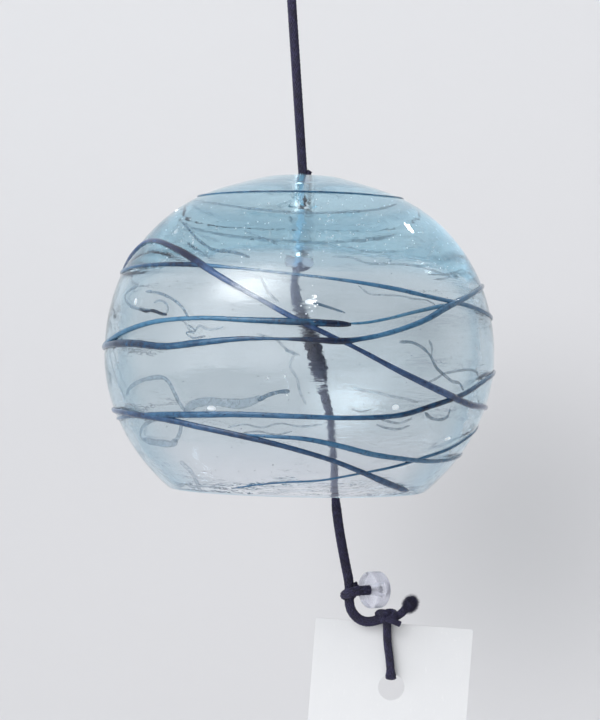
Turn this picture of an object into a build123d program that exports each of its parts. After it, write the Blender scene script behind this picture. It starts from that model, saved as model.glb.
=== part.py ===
from build123d import *
from math import cos, hypot, pi, radians, sin, tan
import os

os.makedirs("parts", exist_ok=True)

# A blown-glass wind bell on a navy cord, in millimetres, +Z up.
# The origin is the inside top of the hanging loop, where a hook carries it.

# Places that the whole bell is hung from
bell_axis_x = 6.1
crown_drop = 70.5

# Bell glass: a flattened globe with a solid crown and a ground open mouth
bell_radius = 44.15
shoulder_height = 41.4
skirt_height = 30.0
shoulder_power = 2.17
skirt_power = 1.9
skirt_reach_share = 0.7317
crown_flat_radius = 6.8
crown_slope = 0.273
crown_blend_power = 8
crown_thickness = 12.0
side_wall = 2.8
hollow_shoulder_power = 3.0
hollow_skirt_reach_share = 0.7508
bore_radius = 2.3
bore_mouth_round = 0.6
lip_round = 0.7
shoulder_points = 9
skirt_points = 6
radius_halvings = 40

# Glass threads laid on the outside of the bell while it was hot
fine_thread = 0.8
thin_thread = 0.95
plain_thread = 1.2
bold_thread = 1.35
thread_sink_share = 0.15
merged_thread_sink_share = 0.3

# Cord sizes and running clearances
cord_diameter = 2.0
lower_cord_diameter = 2.1
loop_diameter = 1.8
tail_diameter = 0.84
hitch_diameter = 1.9
running_gap = 0.3
cord_gap = 0.1
arc_share = 0.45
gap_samples = 240
gap_skip_share = 0.25

# Hanging loop and its knot
knot_drop = 26.3
hanging_knot_radius = 2.6

# Stopper under the crown
stopper_bead_radius = 3.25
stopper_bead_height = 4.5
stopper_bead_round = 0.7
stopper_knot_radius = 2.0
stopper_knot_seat = 0.4

# Long wound knot inside the bell
inner_knot_radius = 2.15
inner_knot_length = 13.2
inner_knot_round = 0.9
inner_knot_pivot_gap = 0.5

# Clapper bead, a short clear ring
clapper_bead_radius = 4.2
clapper_bead_length = 3.75
clapper_bead_bore = 1.3
clapper_bead_round = 0.9
clapper_bead_turn = 215.0
clapper_bead_seat = 1.2

# Knot above the paper card
card_knot_half_width = 2.9
card_knot_radius = 1.65
card_knot_x = 27.25
card_knot_drop = 170.4
half_circle = 180.0
fray_length = 1.8
fray_radius = 1.35

# Paper card
card_width = 36.0
card_length = 150.0
card_thickness = 0.5
card_hole_diameter = 6.0
card_hole_drop = 11.5
card_lean = 3.2
card_plane_y = 1.9
card_left_of_hole = 18.4
card_hole_shift = 0.4
card_edge_lift = 0.5
card_corner_round = 0.4

# Cord routes, point by point
hanging_loop_route = [
    (2.3, 0, -26.2), (4.2, 0, -18.4), (6.3, 0, -12.7), (6.9, 0, -7.1),
    (5.4, 0, -2.2), (1.9, 0, 1.0), (-2.5, 0, 1.2), (-6.2, 0, -1.6),
    (-7.9, 0, -6.3), (-6.0, 0, -12.6), (-2.7, 0, -17.9), (1.8, 0, -25.4),
]
inner_cord_route = [
    (6.1, 0, -87.7), (5.3, 0, -93.2), (5.66, 0, -99.8), (7.27, 0, -104.9),
]
clapper_cord_route = [
    (11.4, 0, -118.0), (13.3, 0, -122.6), (14.2, 0, -132.7), (14.9, 0, -143.8),
    (16.25, 0, -153.2), (17.6, 0, -161.3),
]
lower_cord_route = [
    (17.65, 0, -161.6), (18.1, 0, -164.3), (18.3, 0, -167.1), (19.15, 0, -169.4),
    (20.8, 0, -171.1), (22.8, 0, -171.7), (25.1, 0, -171.2), (27.1, 0, -170.5),
]
hitch_route = [
    (25.23, 1.24, -164.35), (21.65, -1.27, -164.35), (19.4, -2.17, -164.35),
    (16.85, -2.17, -164.6), (15.6, 0, -165.0), (16.9, 2.17, -165.45),
    (19.35, 2.17, -165.9), (20.65, 0.9, -166.2),
]
card_loop_route = [
    (27.3, 0, -170.6), (27.3, 0.35, -173.5), (27.5, 0.45, -176.4),
    (27.95, 0.4, -179.3), (28.3, 0.45, -182.1), (28.4, 0.45, -185.0),
    (28.5, 3.35, -185.0), (28.5, 3.35, -182.2), (28.1, 3.5, -179.2),
    (27.7, 3.6, -176.2), (27.45, 3.95, -173.2), (27.3, 3.2, -170.5),
    (27.3, 0.9, -170.3),
]
knot_tail_route = [
    (28.4, 0, -170.7), (30.2, -0.2, -169.9), (31.7, -0.3, -168.1), (33.2, -0.2, -166.9),
]
crown_tail_route = [
    (7.4, 0, -74.5), (7.45, 0, -72.6), (7.42, 0, -70.9), (7.72, 0, -69.95),
]

# Thread routes: the bearing round the bell in degrees, from the right side and by
# way of the back, and the share of the bell's height below its crown.
crown_thread_shares = [
    (0, 0.072), (20, 0.075), (40, 0.080), (60, 0.086), (80, 0.089), (100, 0.087), (120, 0.083),
    (140, 0.080), (160, 0.083), (180, 0.088), (200, 0.090), (220, 0.084), (240, 0.078),
    (260, 0.0755), (280, 0.0735), (300, 0.074), (320, 0.078), (338, 0.0755),
]
diagonal_thread_shares = [
    (165, 0.37), (177, 0.33), (189, 0.265), (200, 0.232), (211, 0.233), (222, 0.253), (233, 0.29),
    (245, 0.35), (257, 0.412), (270, 0.486), (284, 0.561), (299, 0.64), (314, 0.69), (330, 0.721),
    (346, 0.729), (2, 0.731), (18, 0.737), (34, 0.742), (48, 0.748),
]
upper_thread_shares = [
    (120, 0.30), (134, 0.308), (148, 0.318), (162, 0.325), (176, 0.325), (190, 0.32), (205, 0.311),
    (220, 0.309), (235, 0.311), (250, 0.316), (267, 0.326), (284, 0.344), (299, 0.365),
    (312, 0.390), (326, 0.408), (340, 0.426), (354, 0.442), (8, 0.453), (22, 0.461),
    (36, 0.466), (50, 0.469),
]
middle_thread_shares = [
    (140, 0.58), (155, 0.577), (170, 0.57), (186, 0.558), (200, 0.535), (213, 0.506),
    (226, 0.481), (241, 0.47), (256, 0.474), (270, 0.477), (284, 0.481),
]
branch_thread_shares = [
    (287, 0.477), (295, 0.461), (303, 0.441), (311, 0.424), (318, 0.411),
]
wavy_thread_shares = [
    (120, 0.57), (134, 0.572), (148, 0.57), (162, 0.566), (176, 0.562), (190, 0.556),
    (204, 0.549), (217, 0.548), (230, 0.555), (242, 0.542), (254, 0.529), (268, 0.527),
    (281, 0.533), (294, 0.506), (306, 0.467), (318, 0.416), (332, 0.378), (347, 0.349),
    (2, 0.337), (18, 0.33), (34, 0.325), (50, 0.322),
]
lower_thread_shares = [
    (110, 0.79), (124, 0.791), (138, 0.79), (152, 0.788), (166, 0.786), (180, 0.785),
    (194, 0.780), (208, 0.769), (222, 0.76), (238, 0.754), (254, 0.749), (270, 0.751),
    (285, 0.753), (300, 0.744), (312, 0.714), (324, 0.683), (338, 0.64), (352, 0.617),
    (7, 0.603), (22, 0.595), (37, 0.588), (52, 0.584),
]
falling_thread_shares = [
    (100, 0.742), (114, 0.741), (128, 0.743), (142, 0.746), (157, 0.75), (172, 0.753),
    (187, 0.756), (201, 0.758), (214, 0.763), (227, 0.774), (239, 0.797), (252, 0.823),
    (265, 0.849), (280, 0.882), (292, 0.915), (304, 0.947), (316, 0.974),
]
low_thread_shares = [
    (250, 0.808), (261, 0.812), (272, 0.817), (283, 0.836), (295, 0.861), (309, 0.877),
    (323, 0.886), (338, 0.884), (353, 0.875), (9, 0.867), (25, 0.86), (41, 0.856),
    (57, 0.853), (73, 0.851), (89, 0.852), (105, 0.855), (121, 0.859),
]
rim_thread_shares = [
    (243, 0.978), (254, 0.963), (266, 0.951), (279, 0.937), (292, 0.908), (305, 0.879),
    (317, 0.847), (329, 0.822), (342, 0.79), (356, 0.772), (11, 0.767), (26, 0.764),
    (41, 0.766), (56, 0.769), (71, 0.771),
]

# Worked-out sizes and places
bell_height = shoulder_height + skirt_height
hollow_radius = bell_radius - side_wall
hollow_shoulder_height = shoulder_height - crown_thickness
skirt_reach = skirt_height / skirt_reach_share
hollow_skirt_reach = skirt_height / hollow_skirt_reach_share
cord_radius = cord_diameter / 2
lower_cord_radius = lower_cord_diameter / 2
crown_centre = Vector(bell_axis_x, 0, -crown_drop)
hang_direction = crown_centre.normalized()
hanging_knot_centre = hang_direction * knot_drop
stopper_bead_top = crown_centre - Vector(0, 0, crown_thickness + running_gap)
stopper_bead_foot = stopper_bead_top - Vector(0, 0, stopper_bead_height)
stopper_knot_centre = stopper_bead_foot - Vector(0, 0, stopper_knot_seat)
inner_knot_top = Vector(inner_cord_route[-1])
inner_knot_axis = (inner_knot_top - Vector(inner_cord_route[-2])).normalized()
inner_knot_foot = inner_knot_top + inner_knot_axis * inner_knot_length
inner_knot_pivot = inner_knot_foot + inner_knot_axis * inner_knot_pivot_gap
clapper_bead_axis = Vector(cos(radians(clapper_bead_turn)), sin(radians(clapper_bead_turn)), 0)
clapper_bead_centre = Vector(hitch_route[0]) + clapper_bead_axis * clapper_bead_seat
card_knot_centre = Vector(card_knot_x, 0, -card_knot_drop)
card_loop_foot = Vector(card_loop_route[5])
card_hole_top_z = card_loop_foot.Z + loop_diameter / 2 + card_edge_lift


def shoulder_depth(radius, half_width, height, power):
    """Depth below the top of a rounded shoulder at a distance from its axis."""
    return height * (1 - (1 - (radius / half_width) ** power) ** (1 / power))


def crown_depth(radius):
    """Depth of the outside above its widest level: a shallow cone run into the shoulder."""
    cone = crown_slope * max(0, radius - crown_flat_radius)
    dome = shoulder_depth(radius, bell_radius, shoulder_height, shoulder_power)
    return (cone**crown_blend_power + dome**crown_blend_power) ** (1 / crown_blend_power)


def skirt_radius(drop, half_width, reach):
    """Distance from the axis at a drop below the widest level."""
    return half_width * (1 - (drop / reach) ** skirt_power) ** (1 / skirt_power)


def outside_radius(depth):
    """Radius of the outside at a depth below the crown, found by halving."""
    if depth > shoulder_height:
        return skirt_radius(depth - shoulder_height, bell_radius, skirt_reach)
    low = 0
    high = bell_radius
    for _ in range(radius_halvings):
        middle = (low + high) / 2
        if crown_depth(middle) < depth:
            low = middle
        else:
            high = middle
    return high


def on_bell(bearing, depth, inset):
    """A point at an inset from the outside, square to it."""
    step = depth / shoulder_points
    slope = (outside_radius(depth + step) - outside_radius(depth - step)) / (2 * step)
    tilt = hypot(1, slope)
    radius = outside_radius(depth) - inset / tilt
    drop = depth + inset * slope / tilt
    turn = radians(bearing)
    return Vector(
        crown_centre.X + radius * cos(turn),
        crown_centre.Y + radius * sin(turn),
        crown_centre.Z - drop,
    )


def thread_points(shares, thickness, sink_share):
    """Points of a thread's route, raised so that its chords lie in the surface."""
    points = []
    steps = [(b[0] - a[0]) % 360 for a, b in zip(shares, shares[1:])]
    for index, (bearing, depth_share) in enumerate(shares):
        step = steps[min(index, len(steps) - 1)]
        depth = depth_share * bell_height
        sag = outside_radius(depth) * (1 - cos(radians(step) / 2))
        points.append(on_bell(bearing, depth, thickness * sink_share - sag))
    return points


def corner_radii(points):
    """The largest arcs that fit a route, each tangent to the runs beside its corner."""
    corners = [Vector(p) for p in points]
    radii = []
    for before, here, after in zip(corners, corners[1:], corners[2:]):
        first = here - before
        second = after - here
        half_turn = radians(first.get_angle(second)) / 2
        radii.append(arc_share * min(first.length, second.length) / tan(half_turn))
    return radii


def report_tube(name, tube, path, diameter, radii):
    """Prints a tube's length, its tightest arcs and how full its volume is."""
    length = sum(edge.length for edge in path.edges())
    filled = tube.volume / (pi * diameter**2 / 4 * length)
    tight = " ".join(f"{radius:.1f}" for radius in radii)
    print(f"{name}: {length:.1f} long, fills {filled:.4f}, radii {tight}")


def report_gap(name, path, diameter):
    """Prints the least clear distance between a tube's turns, measured on points along it."""
    points = [path @ (step / gap_samples) for step in range(gap_samples + 1)]
    skip = int(gap_samples * gap_skip_share)
    nearest = min(
        (points[second] - points[first]).length
        for first in range(gap_samples)
        for second in range(first + skip, gap_samples + 1)
    )
    print(f"{name}: least gap to itself {nearest - diameter:.2f}")


# Hanging loop, whose two ends go into its knot
with BuildPart() as hanging_loop:
    with BuildLine() as loop_line:
        FilletPolyline(*hanging_loop_route, radius=corner_radii(hanging_loop_route))
    with BuildSketch(Plane(loop_line.line @ 0, z_dir=loop_line.line % 0)):
        Circle(cord_radius)
    sweep()
    report_tube(
        "hanging_loop", hanging_loop.part, loop_line.line, cord_diameter,
        corner_radii(hanging_loop_route),
    )
    with Locations(hanging_knot_centre):
        Sphere(hanging_knot_radius + running_gap, mode=Mode.SUBTRACT)

# Knot that closes the hanging loop
with BuildPart() as hanging_knot:
    with Locations(hanging_knot_centre):
        Sphere(hanging_knot_radius)

# Cord from the knot to the crown, pulled straight by the bell
with BuildPart() as upper_cord:
    with BuildLine() as upper_line:
        Line(hanging_knot_centre, crown_centre)
    with BuildSketch(Plane(hanging_knot_centre, z_dir=hang_direction)):
        Circle(cord_radius)
    sweep()
    with Locations(hanging_knot_centre):
        Sphere(hanging_knot_radius + running_gap, mode=Mode.SUBTRACT)
    with Locations(crown_centre):
        Sphere(cord_radius + running_gap, mode=Mode.SUBTRACT)

# Cord through the crown's bore, with a ball end that the bell rocks on
with BuildPart() as crown_cord:
    with Locations(crown_centre):
        Sphere(cord_radius)
    with BuildSketch(Plane(crown_centre, z_dir=(0, 0, -1))):
        Circle(cord_radius)
    extrude(amount=crown_centre.Z - stopper_knot_centre.Z)

# Short end of the cord, standing out of the bore beside it
with BuildPart() as crown_tail:
    with BuildLine() as crown_tail_line:
        FilletPolyline(*crown_tail_route, radius=corner_radii(crown_tail_route))
    with BuildSketch(Plane(crown_tail_line.line @ 0, z_dir=crown_tail_line.line % 0)):
        Circle(tail_diameter / 2)
    sweep()
    with Locations(crown_tail_line.line @ 1):
        Sphere(tail_diameter / 2)

# Clear bead that the crown rests on, hollowed below for its knot
with BuildPart() as stopper_bead:
    with BuildSketch(Plane(stopper_bead_foot)):
        Circle(stopper_bead_radius)
        Circle(cord_radius + cord_gap, mode=Mode.SUBTRACT)
    extrude(amount=stopper_bead_height)
    bead_edges = stopper_bead.edges().filter_by(GeomType.CIRCLE)
    fillet(bead_edges.group_by(SortBy.RADIUS)[-1], stopper_bead_round)
    with Locations(stopper_knot_centre):
        Sphere(stopper_knot_radius + cord_gap, mode=Mode.SUBTRACT)

# Knot under the bead
with BuildPart() as stopper_knot:
    with Locations(stopper_knot_centre):
        Sphere(stopper_knot_radius)

# Bell glass, one turned wall from the bore to the ground lip
with BuildPart() as bell_glass:
    with BuildSketch(Plane(crown_centre, x_dir=(1, 0, 0), z_dir=(0, -1, 0))):
        with BuildLine():
            turns = [pi / 2 * step / shoulder_points for step in range(1, shoulder_points + 1)]
            crown_radii = [bore_radius] + [
                bell_radius * sin(turn) ** (2 / shoulder_power) for turn in turns
            ]
            outer_crown = [(radius, -crown_depth(radius)) for radius in crown_radii[:-1]]
            outer_crown.append((bell_radius, -shoulder_height))
            drops = [skirt_height * step / skirt_points for step in range(skirt_points + 1)]
            outer_skirt = [
                (skirt_radius(drop, bell_radius, skirt_reach), -shoulder_height - drop)
                for drop in drops
            ]
            hollow_skirt = [
                (skirt_radius(drop, hollow_radius, hollow_skirt_reach), -shoulder_height - drop)
                for drop in drops
            ]
            hollow_radii = [bore_radius] + [
                hollow_radius * sin(turn) ** (2 / hollow_shoulder_power) for turn in turns
            ]
            hollow_crown = [
                (
                    radius,
                    -crown_thickness
                    - shoulder_depth(
                        radius, hollow_radius, hollow_shoulder_height, hollow_shoulder_power
                    ),
                )
                for radius in hollow_radii
            ]
            Spline(*outer_crown, tangents=[(1, 0), (0, -1)], tangent_scalars=[1, 1])
            Spline(*outer_skirt)
            Line(outer_skirt[-1], hollow_skirt[-1])
            Spline(*reversed(hollow_skirt))
            Spline(*reversed(hollow_crown), tangents=[(0, 1), (-1, 0)], tangent_scalars=[1, 1])
            Line(hollow_crown[0], outer_crown[0])
        make_face()
    revolve(axis=Axis(crown_centre, (0, 0, 1)))
    fillet(bell_glass.edges().filter_by(GeomType.CIRCLE).group_by(Axis.Z)[0], lip_round)
    fillet(bell_glass.edges().filter_by(GeomType.CIRCLE).sort_by(Axis.Z)[-1], bore_mouth_round)

# Glass threads, each laid round its own part of the bell
thread_table = [
    ("crown_thread", crown_thread_shares, fine_thread, thread_sink_share),
    ("diagonal_thread", diagonal_thread_shares, bold_thread, thread_sink_share),
    ("upper_thread", upper_thread_shares, plain_thread, thread_sink_share),
    ("middle_thread", middle_thread_shares, bold_thread, thread_sink_share),
    ("branch_thread", branch_thread_shares, fine_thread, thread_sink_share),
    ("wavy_thread", wavy_thread_shares, plain_thread, thread_sink_share),
    ("lower_thread", lower_thread_shares, plain_thread, thread_sink_share),
    ("falling_thread", falling_thread_shares, bold_thread, thread_sink_share),
    ("low_thread", low_thread_shares, thin_thread, merged_thread_sink_share),
    ("rim_thread", rim_thread_shares, fine_thread, thread_sink_share),
]
for thread_name, shares, thickness, sink_share in thread_table:
    route = thread_points(shares, thickness, sink_share)
    with BuildPart() as thread:
        with BuildLine() as thread_line:
            FilletPolyline(*route, radius=corner_radii(route))
        with BuildSketch(Plane(thread_line.line @ 0, z_dir=thread_line.line % 0)):
            Circle(thickness / 2)
        sweep()
    report_tube(thread_name, thread.part, thread_line.line, thickness, [])
    thread.part.label = thread_name
    export_step(thread.part, f"parts/{thread_name}.step")

# Cord from the stopper to the long knot
with BuildPart() as inner_cord:
    with BuildLine() as inner_line:
        FilletPolyline(*inner_cord_route, radius=corner_radii(inner_cord_route))
    with BuildSketch(Plane(inner_line.line @ 0, z_dir=inner_line.line % 0)):
        Circle(cord_radius)
    sweep()
    report_tube(
        "inner_cord", inner_cord.part, inner_line.line, cord_diameter,
        corner_radii(inner_cord_route),
    )
    with Locations(stopper_knot_centre):
        Sphere(stopper_knot_radius + running_gap, mode=Mode.SUBTRACT)

# Long wound knot, hollowed below where the clapper cord turns
with BuildPart() as inner_knot:
    with BuildSketch(Plane(inner_knot_top, z_dir=inner_knot_axis)):
        Circle(inner_knot_radius)
    extrude(amount=inner_knot_length)
    fillet(inner_knot.edges().filter_by(GeomType.CIRCLE), inner_knot_round)
    with Locations(inner_knot_pivot):
        Sphere(lower_cord_radius + running_gap, mode=Mode.SUBTRACT)

# Clapper cord, from the long knot out through the mouth
with BuildPart() as clapper_cord:
    with BuildLine() as clapper_line:
        FilletPolyline(*clapper_cord_route, radius=corner_radii(clapper_cord_route))
    with BuildSketch(Plane(clapper_line.line @ 0, z_dir=clapper_line.line % 0)):
        Circle(lower_cord_radius)
    sweep()
    report_tube(
        "clapper_cord", clapper_cord.part, clapper_line.line, lower_cord_diameter,
        corner_radii(clapper_cord_route),
    )
    with Locations(clapper_line.line @ 0):
        Sphere(lower_cord_radius)

# Cord from the hitch to the card's knot
with BuildPart() as lower_cord:
    with BuildLine() as lower_line:
        FilletPolyline(*lower_cord_route, radius=corner_radii(lower_cord_route))
    with BuildSketch(Plane(lower_line.line @ 0, z_dir=lower_line.line % 0)):
        Circle(lower_cord_radius)
    sweep()
    report_tube(
        "lower_cord", lower_cord.part, lower_line.line, lower_cord_diameter,
        corner_radii(lower_cord_route),
    )

# Clear ring bead that strikes the lip
with BuildPart() as clapper_bead:
    with BuildSketch(Plane(clapper_bead_centre, z_dir=clapper_bead_axis)):
        Circle(clapper_bead_radius)
        Circle(clapper_bead_bore, mode=Mode.SUBTRACT)
    extrude(amount=clapper_bead_length / 2, both=True)
    ring_edges = clapper_bead.edges().filter_by(GeomType.CIRCLE)
    fillet(ring_edges.group_by(SortBy.RADIUS)[-1], clapper_bead_round)

# Hitch that ties the bead to the cord, two turns round it
with BuildPart() as bead_hitch:
    with BuildLine() as hitch_line:
        FilletPolyline(*hitch_route, radius=corner_radii(hitch_route))
    with BuildSketch(Plane(hitch_line.line @ 0, z_dir=hitch_line.line % 0)):
        Circle(hitch_diameter / 2)
    sweep()
    report_tube(
        "bead_hitch", bead_hitch.part, hitch_line.line, hitch_diameter, corner_radii(hitch_route)
    )
    report_gap("bead_hitch", hitch_line.line, hitch_diameter)

# Knot that the card's loop hangs from, round about its own long axis
with BuildPart() as card_knot:
    with BuildSketch(Plane(card_knot_centre, x_dir=(1, 0, 0), z_dir=(0, -1, 0))):
        with BuildLine():
            knot_arc = EllipticalCenterArc(
                (0, 0), card_knot_half_width, card_knot_radius, start_angle=0, arc_size=half_circle
            )
            Line(knot_arc @ 1, knot_arc @ 0)
        make_face()
    revolve(axis=Axis(card_knot_centre, (1, 0, 0)))

# Short end of the cord above the knot, with its frayed tip
with BuildPart() as knot_tail:
    with BuildLine() as tail_line:
        FilletPolyline(*knot_tail_route, radius=corner_radii(knot_tail_route))
    with BuildSketch(Plane(tail_line.line @ 0, z_dir=tail_line.line % 0)):
        Circle(loop_diameter / 2)
    sweep()
    with BuildSketch(Plane(tail_line.line @ 1, z_dir=tail_line.line % 1)):
        Circle(loop_diameter / 2)
    with BuildSketch(Plane(tail_line.line @ 1, z_dir=tail_line.line % 1).offset(fray_length)):
        Circle(fray_radius)
    loft()

# Loop through the card's hole, one strand before the card and one behind
with BuildPart() as card_loop:
    with BuildLine() as card_loop_line:
        FilletPolyline(*card_loop_route, radius=corner_radii(card_loop_route))
    with BuildSketch(Plane(card_loop_line.line @ 0, z_dir=card_loop_line.line % 0)):
        Circle(loop_diameter / 2)
    sweep()
    report_tube(
        "card_loop", card_loop.part, card_loop_line.line, loop_diameter,
        corner_radii(card_loop_route),
    )
    with Locations(Plane(card_knot_centre, z_dir=(1, 0, 0))):
        Cylinder(
            card_knot_radius + running_gap, 2 * card_knot_half_width, mode=Mode.SUBTRACT
        )

# Paper card, leaning as it hangs, with its hole on the loop
card_pivot = Vector(card_loop_foot.X + card_hole_shift, card_plane_y, card_hole_top_z)
card_right = Vector(cos(radians(card_lean)), 0, -sin(radians(card_lean)))
with BuildPart() as paper_card:
    with BuildSketch(Plane(card_pivot, x_dir=card_right, z_dir=(0, -1, 0))):
        with Locations((card_width / 2 - card_left_of_hole, card_hole_drop - card_length / 2)):
            RectangleRounded(card_width, card_length, card_corner_round)
        with Locations((0, -card_hole_diameter / 2)):
            Circle(card_hole_diameter / 2, mode=Mode.SUBTRACT)
    extrude(amount=card_thickness / 2, both=True)

pieces = {
    "hanging_loop": hanging_loop,
    "hanging_knot": hanging_knot,
    "upper_cord": upper_cord,
    "crown_cord": crown_cord,
    "crown_tail": crown_tail,
    "stopper_bead": stopper_bead,
    "stopper_knot": stopper_knot,
    "bell_glass": bell_glass,
    "inner_cord": inner_cord,
    "inner_knot": inner_knot,
    "clapper_cord": clapper_cord,
    "clapper_bead": clapper_bead,
    "bead_hitch": bead_hitch,
    "lower_cord": lower_cord,
    "card_knot": card_knot,
    "knot_tail": knot_tail,
    "card_loop": card_loop,
    "paper_card": paper_card,
}
for piece_name, piece in pieces.items():
    piece.part.label = piece_name
    export_step(piece.part, f"parts/{piece_name}.step")
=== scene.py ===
from math import cos, hypot, pi, radians, sin

import bmesh
import bpy
import numpy as np
from mathutils import Matrix, Vector, noise


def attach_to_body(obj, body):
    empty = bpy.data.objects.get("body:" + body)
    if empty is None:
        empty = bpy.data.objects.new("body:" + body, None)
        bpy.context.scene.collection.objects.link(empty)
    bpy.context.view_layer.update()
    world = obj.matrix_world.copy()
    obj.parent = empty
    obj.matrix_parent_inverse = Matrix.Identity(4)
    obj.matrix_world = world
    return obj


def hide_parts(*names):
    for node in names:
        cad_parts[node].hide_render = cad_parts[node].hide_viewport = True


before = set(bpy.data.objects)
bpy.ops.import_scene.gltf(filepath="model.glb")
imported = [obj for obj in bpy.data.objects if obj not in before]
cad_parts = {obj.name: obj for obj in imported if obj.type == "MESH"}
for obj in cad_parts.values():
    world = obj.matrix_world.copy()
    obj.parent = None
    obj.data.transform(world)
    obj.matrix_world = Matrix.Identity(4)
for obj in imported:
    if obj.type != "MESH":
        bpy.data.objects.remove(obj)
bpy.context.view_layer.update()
print("frame loaded")

# Camera, at the height of the bell and turned a little, as the picture was taken
cameraView = {
    "place": (0.00629, -0.5, -0.11243),
    "roll": 1.17,            # degrees
    "lens": 110.0,           # millimetres, on the picture's long side
    "sensor": 36.0,
    "focalPixels": 2200.0,
    "centrePixel": (300.0, 360.0),
}


def cameraAxes():
    roll = radians(cameraView["roll"])
    right = Vector((cos(roll), 0, sin(roll)))
    up = Vector((-sin(roll), 0, cos(roll)))
    return right, up, Vector((0, -1, 0))


def makeCamera():
    lens = bpy.data.cameras.new("picture_camera")
    lens.lens = cameraView["lens"]
    lens.sensor_width = cameraView["sensor"]
    lens.sensor_fit = "AUTO"
    lens.clip_start = 0.01
    camera = addObject("picture_camera", lens)
    turn = Matrix(cameraAxes()).transposed().to_4x4()
    camera.matrix_world = Matrix.Translation(cameraView["place"]) @ turn
    bpy.context.scene.camera = camera


def pixelRay(x, y):
    # direction from the camera through a pixel of the picture
    right, up, back = cameraAxes()
    across = (x - cameraView["centrePixel"][0]) / cameraView["focalPixels"]
    above = (cameraView["centrePixel"][1] - y) / cameraView["focalPixels"]
    return (right * across + up * above - back).normalized()


# Node trees, for shaders and for Geometry Nodes alike
def findNode(tree, kind):
    return next(node for node in tree.nodes if node.type == kind)


class Wire:
    # an output of a node, which arithmetic joins to others

    def __init__(self, tree, node, socket):
        self.tree = tree
        self.node = node
        self.socket = socket

    def __getitem__(self, name):
        return Wire(self.tree, self.node, self.node.outputs[name])

    def join(self, operation, *values):
        return self.tree.add("ShaderNodeMath", dict(enumerate(values)), {"operation": operation})

    def __add__(self, other):
        return self.join("ADD", self, other)

    def __radd__(self, other):
        return self.join("ADD", other, self)

    def __sub__(self, other):
        return self.join("SUBTRACT", self, other)

    def __mul__(self, other):
        return self.join("MULTIPLY", self, other)

    def __truediv__(self, other):
        return self.join("DIVIDE", self, other)

    def __pow__(self, other):
        return self.join("POWER", self, other)

    def sine(self):
        return self.join("SINE", self)

    def cosine(self):
        return self.join("COSINE", self)

    def clamped(self):
        wire = self.join("ADD", self, 0.0)
        wire.node.use_clamp = True
        return wire


class Tree:
    def __init__(self, tree):
        self.tree = tree

    def add(self, kind, sockets=None, settings=None, output=0):
        node = self.tree.nodes.new(kind)
        for name, value in (settings or {}).items():
            setattr(node, name, value)
        for name, value in (sockets or {}).items():
            self.feed(node.inputs[name], value)
        return Wire(self, node, node.outputs[output])

    def feed(self, socket, value):
        if isinstance(value, Wire):
            self.tree.links.new(value.socket, socket)
        elif isinstance(value, list):
            for one in value:
                self.tree.links.new(one.socket, socket)
        else:
            socket.default_value = value

    def blendColours(self, share, first, second):
        first = (*first, 1.0) if isinstance(first, tuple) else first
        second = (*second, 1.0) if isinstance(second, tuple) else second
        return self.add("ShaderNodeMix", {0: share, 6: first, 7: second}, {"data_type": "RGBA"}, 2)

    def colourRamp(self, share, stops):
        wire = self.add("ShaderNodeValToRGB", {0: share})
        elements = wire.node.color_ramp.elements
        while len(elements) < len(stops):
            elements.new(0.5)
        for element, (place, colour) in zip(elements, stops):
            element.position = place
            element.color = (*colour, 1.0)
        return wire

    def vector(self, operation, sockets, output=0):
        return self.add("ShaderNodeVectorMath", sockets, {"operation": operation}, output)

    def shape(self, kind, sockets=None, settings=None, output=0):
        return self.add("GeometryNode" + kind, sockets, settings, output)

    def random(self, low, high, seed):
        return self.add("FunctionNodeRandomValue", {2: low, 3: high, "Seed": seed}, output=1)

    def part(self, place, axis):
        return self.add("ShaderNodeSeparateXYZ", {0: place}, output=axis)

    def smoothStep(self, value, low, high):
        settings = {"interpolation_type": "SMOOTHSTEP"}
        return self.add("ShaderNodeMapRange", {0: value, 1: low, 2: high}, settings)


class Finish(Tree):
    # one material with its Principled shader

    def __init__(self, name, constants):
        self.material = bpy.data.materials.new(name)
        self.material.use_nodes = True
        super().__init__(self.material.node_tree)
        self.shader = findNode(self.tree, "BSDF_PRINCIPLED")
        self.output = findNode(self.tree, "OUTPUT_MATERIAL")
        for socket, value in constants.items():
            self.shader.inputs[socket].default_value = value

    def millimetres(self, squeeze=(1, 1, 1)):
        place = self.add("ShaderNodeTexCoord", output="Object")
        return self.vector("MULTIPLY", {0: place, 1: tuple(1000 * share for share in squeeze)})

    def stored(self, name):
        # a number that the mesh holds at each of its points
        return self.add("ShaderNodeAttribute", None, {"attribute_name": name}, "Fac")

    def noise(self, scale, detail=2.0, squeeze=(1, 1, 1), distortion=0.0):
        return self.add("ShaderNodeTexNoise", {
            "Vector": self.millimetres(squeeze), "Scale": scale, "Detail": detail,
            "Distortion": distortion,
        })

    def colour(self, wire):
        self.feed(self.shader.inputs["Base Color"], wire)

    def roughness(self, wire):
        self.feed(self.shader.inputs["Roughness"], wire)

    def bump(self, height, strength, distance):
        sockets = {"Strength": strength, "Distance": distance, "Height": height}
        wire = self.add("ShaderNodeBump", sockets)
        self.feed(self.shader.inputs["Normal"], wire)

    def absorb(self, colour, density):
        sockets = {"Color": (*colour, 1.0), "Density": density}
        wire = self.add("ShaderNodeVolumeAbsorption", sockets)
        self.feed(self.output.inputs["Volume"], wire)


# Objects and meshes
def addObject(name, data):
    made = bpy.data.objects.new(name, data)
    bpy.context.scene.collection.objects.link(made)
    return made


def shadeSmooth(mesh):
    mesh.polygons.foreach_set("use_smooth", [True] * len(mesh.polygons))


def storeValues(piece, name, values):
    attribute = piece.data.attributes.new(name, "FLOAT", "POINT")
    attribute.data.foreach_set("value", values)


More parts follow.
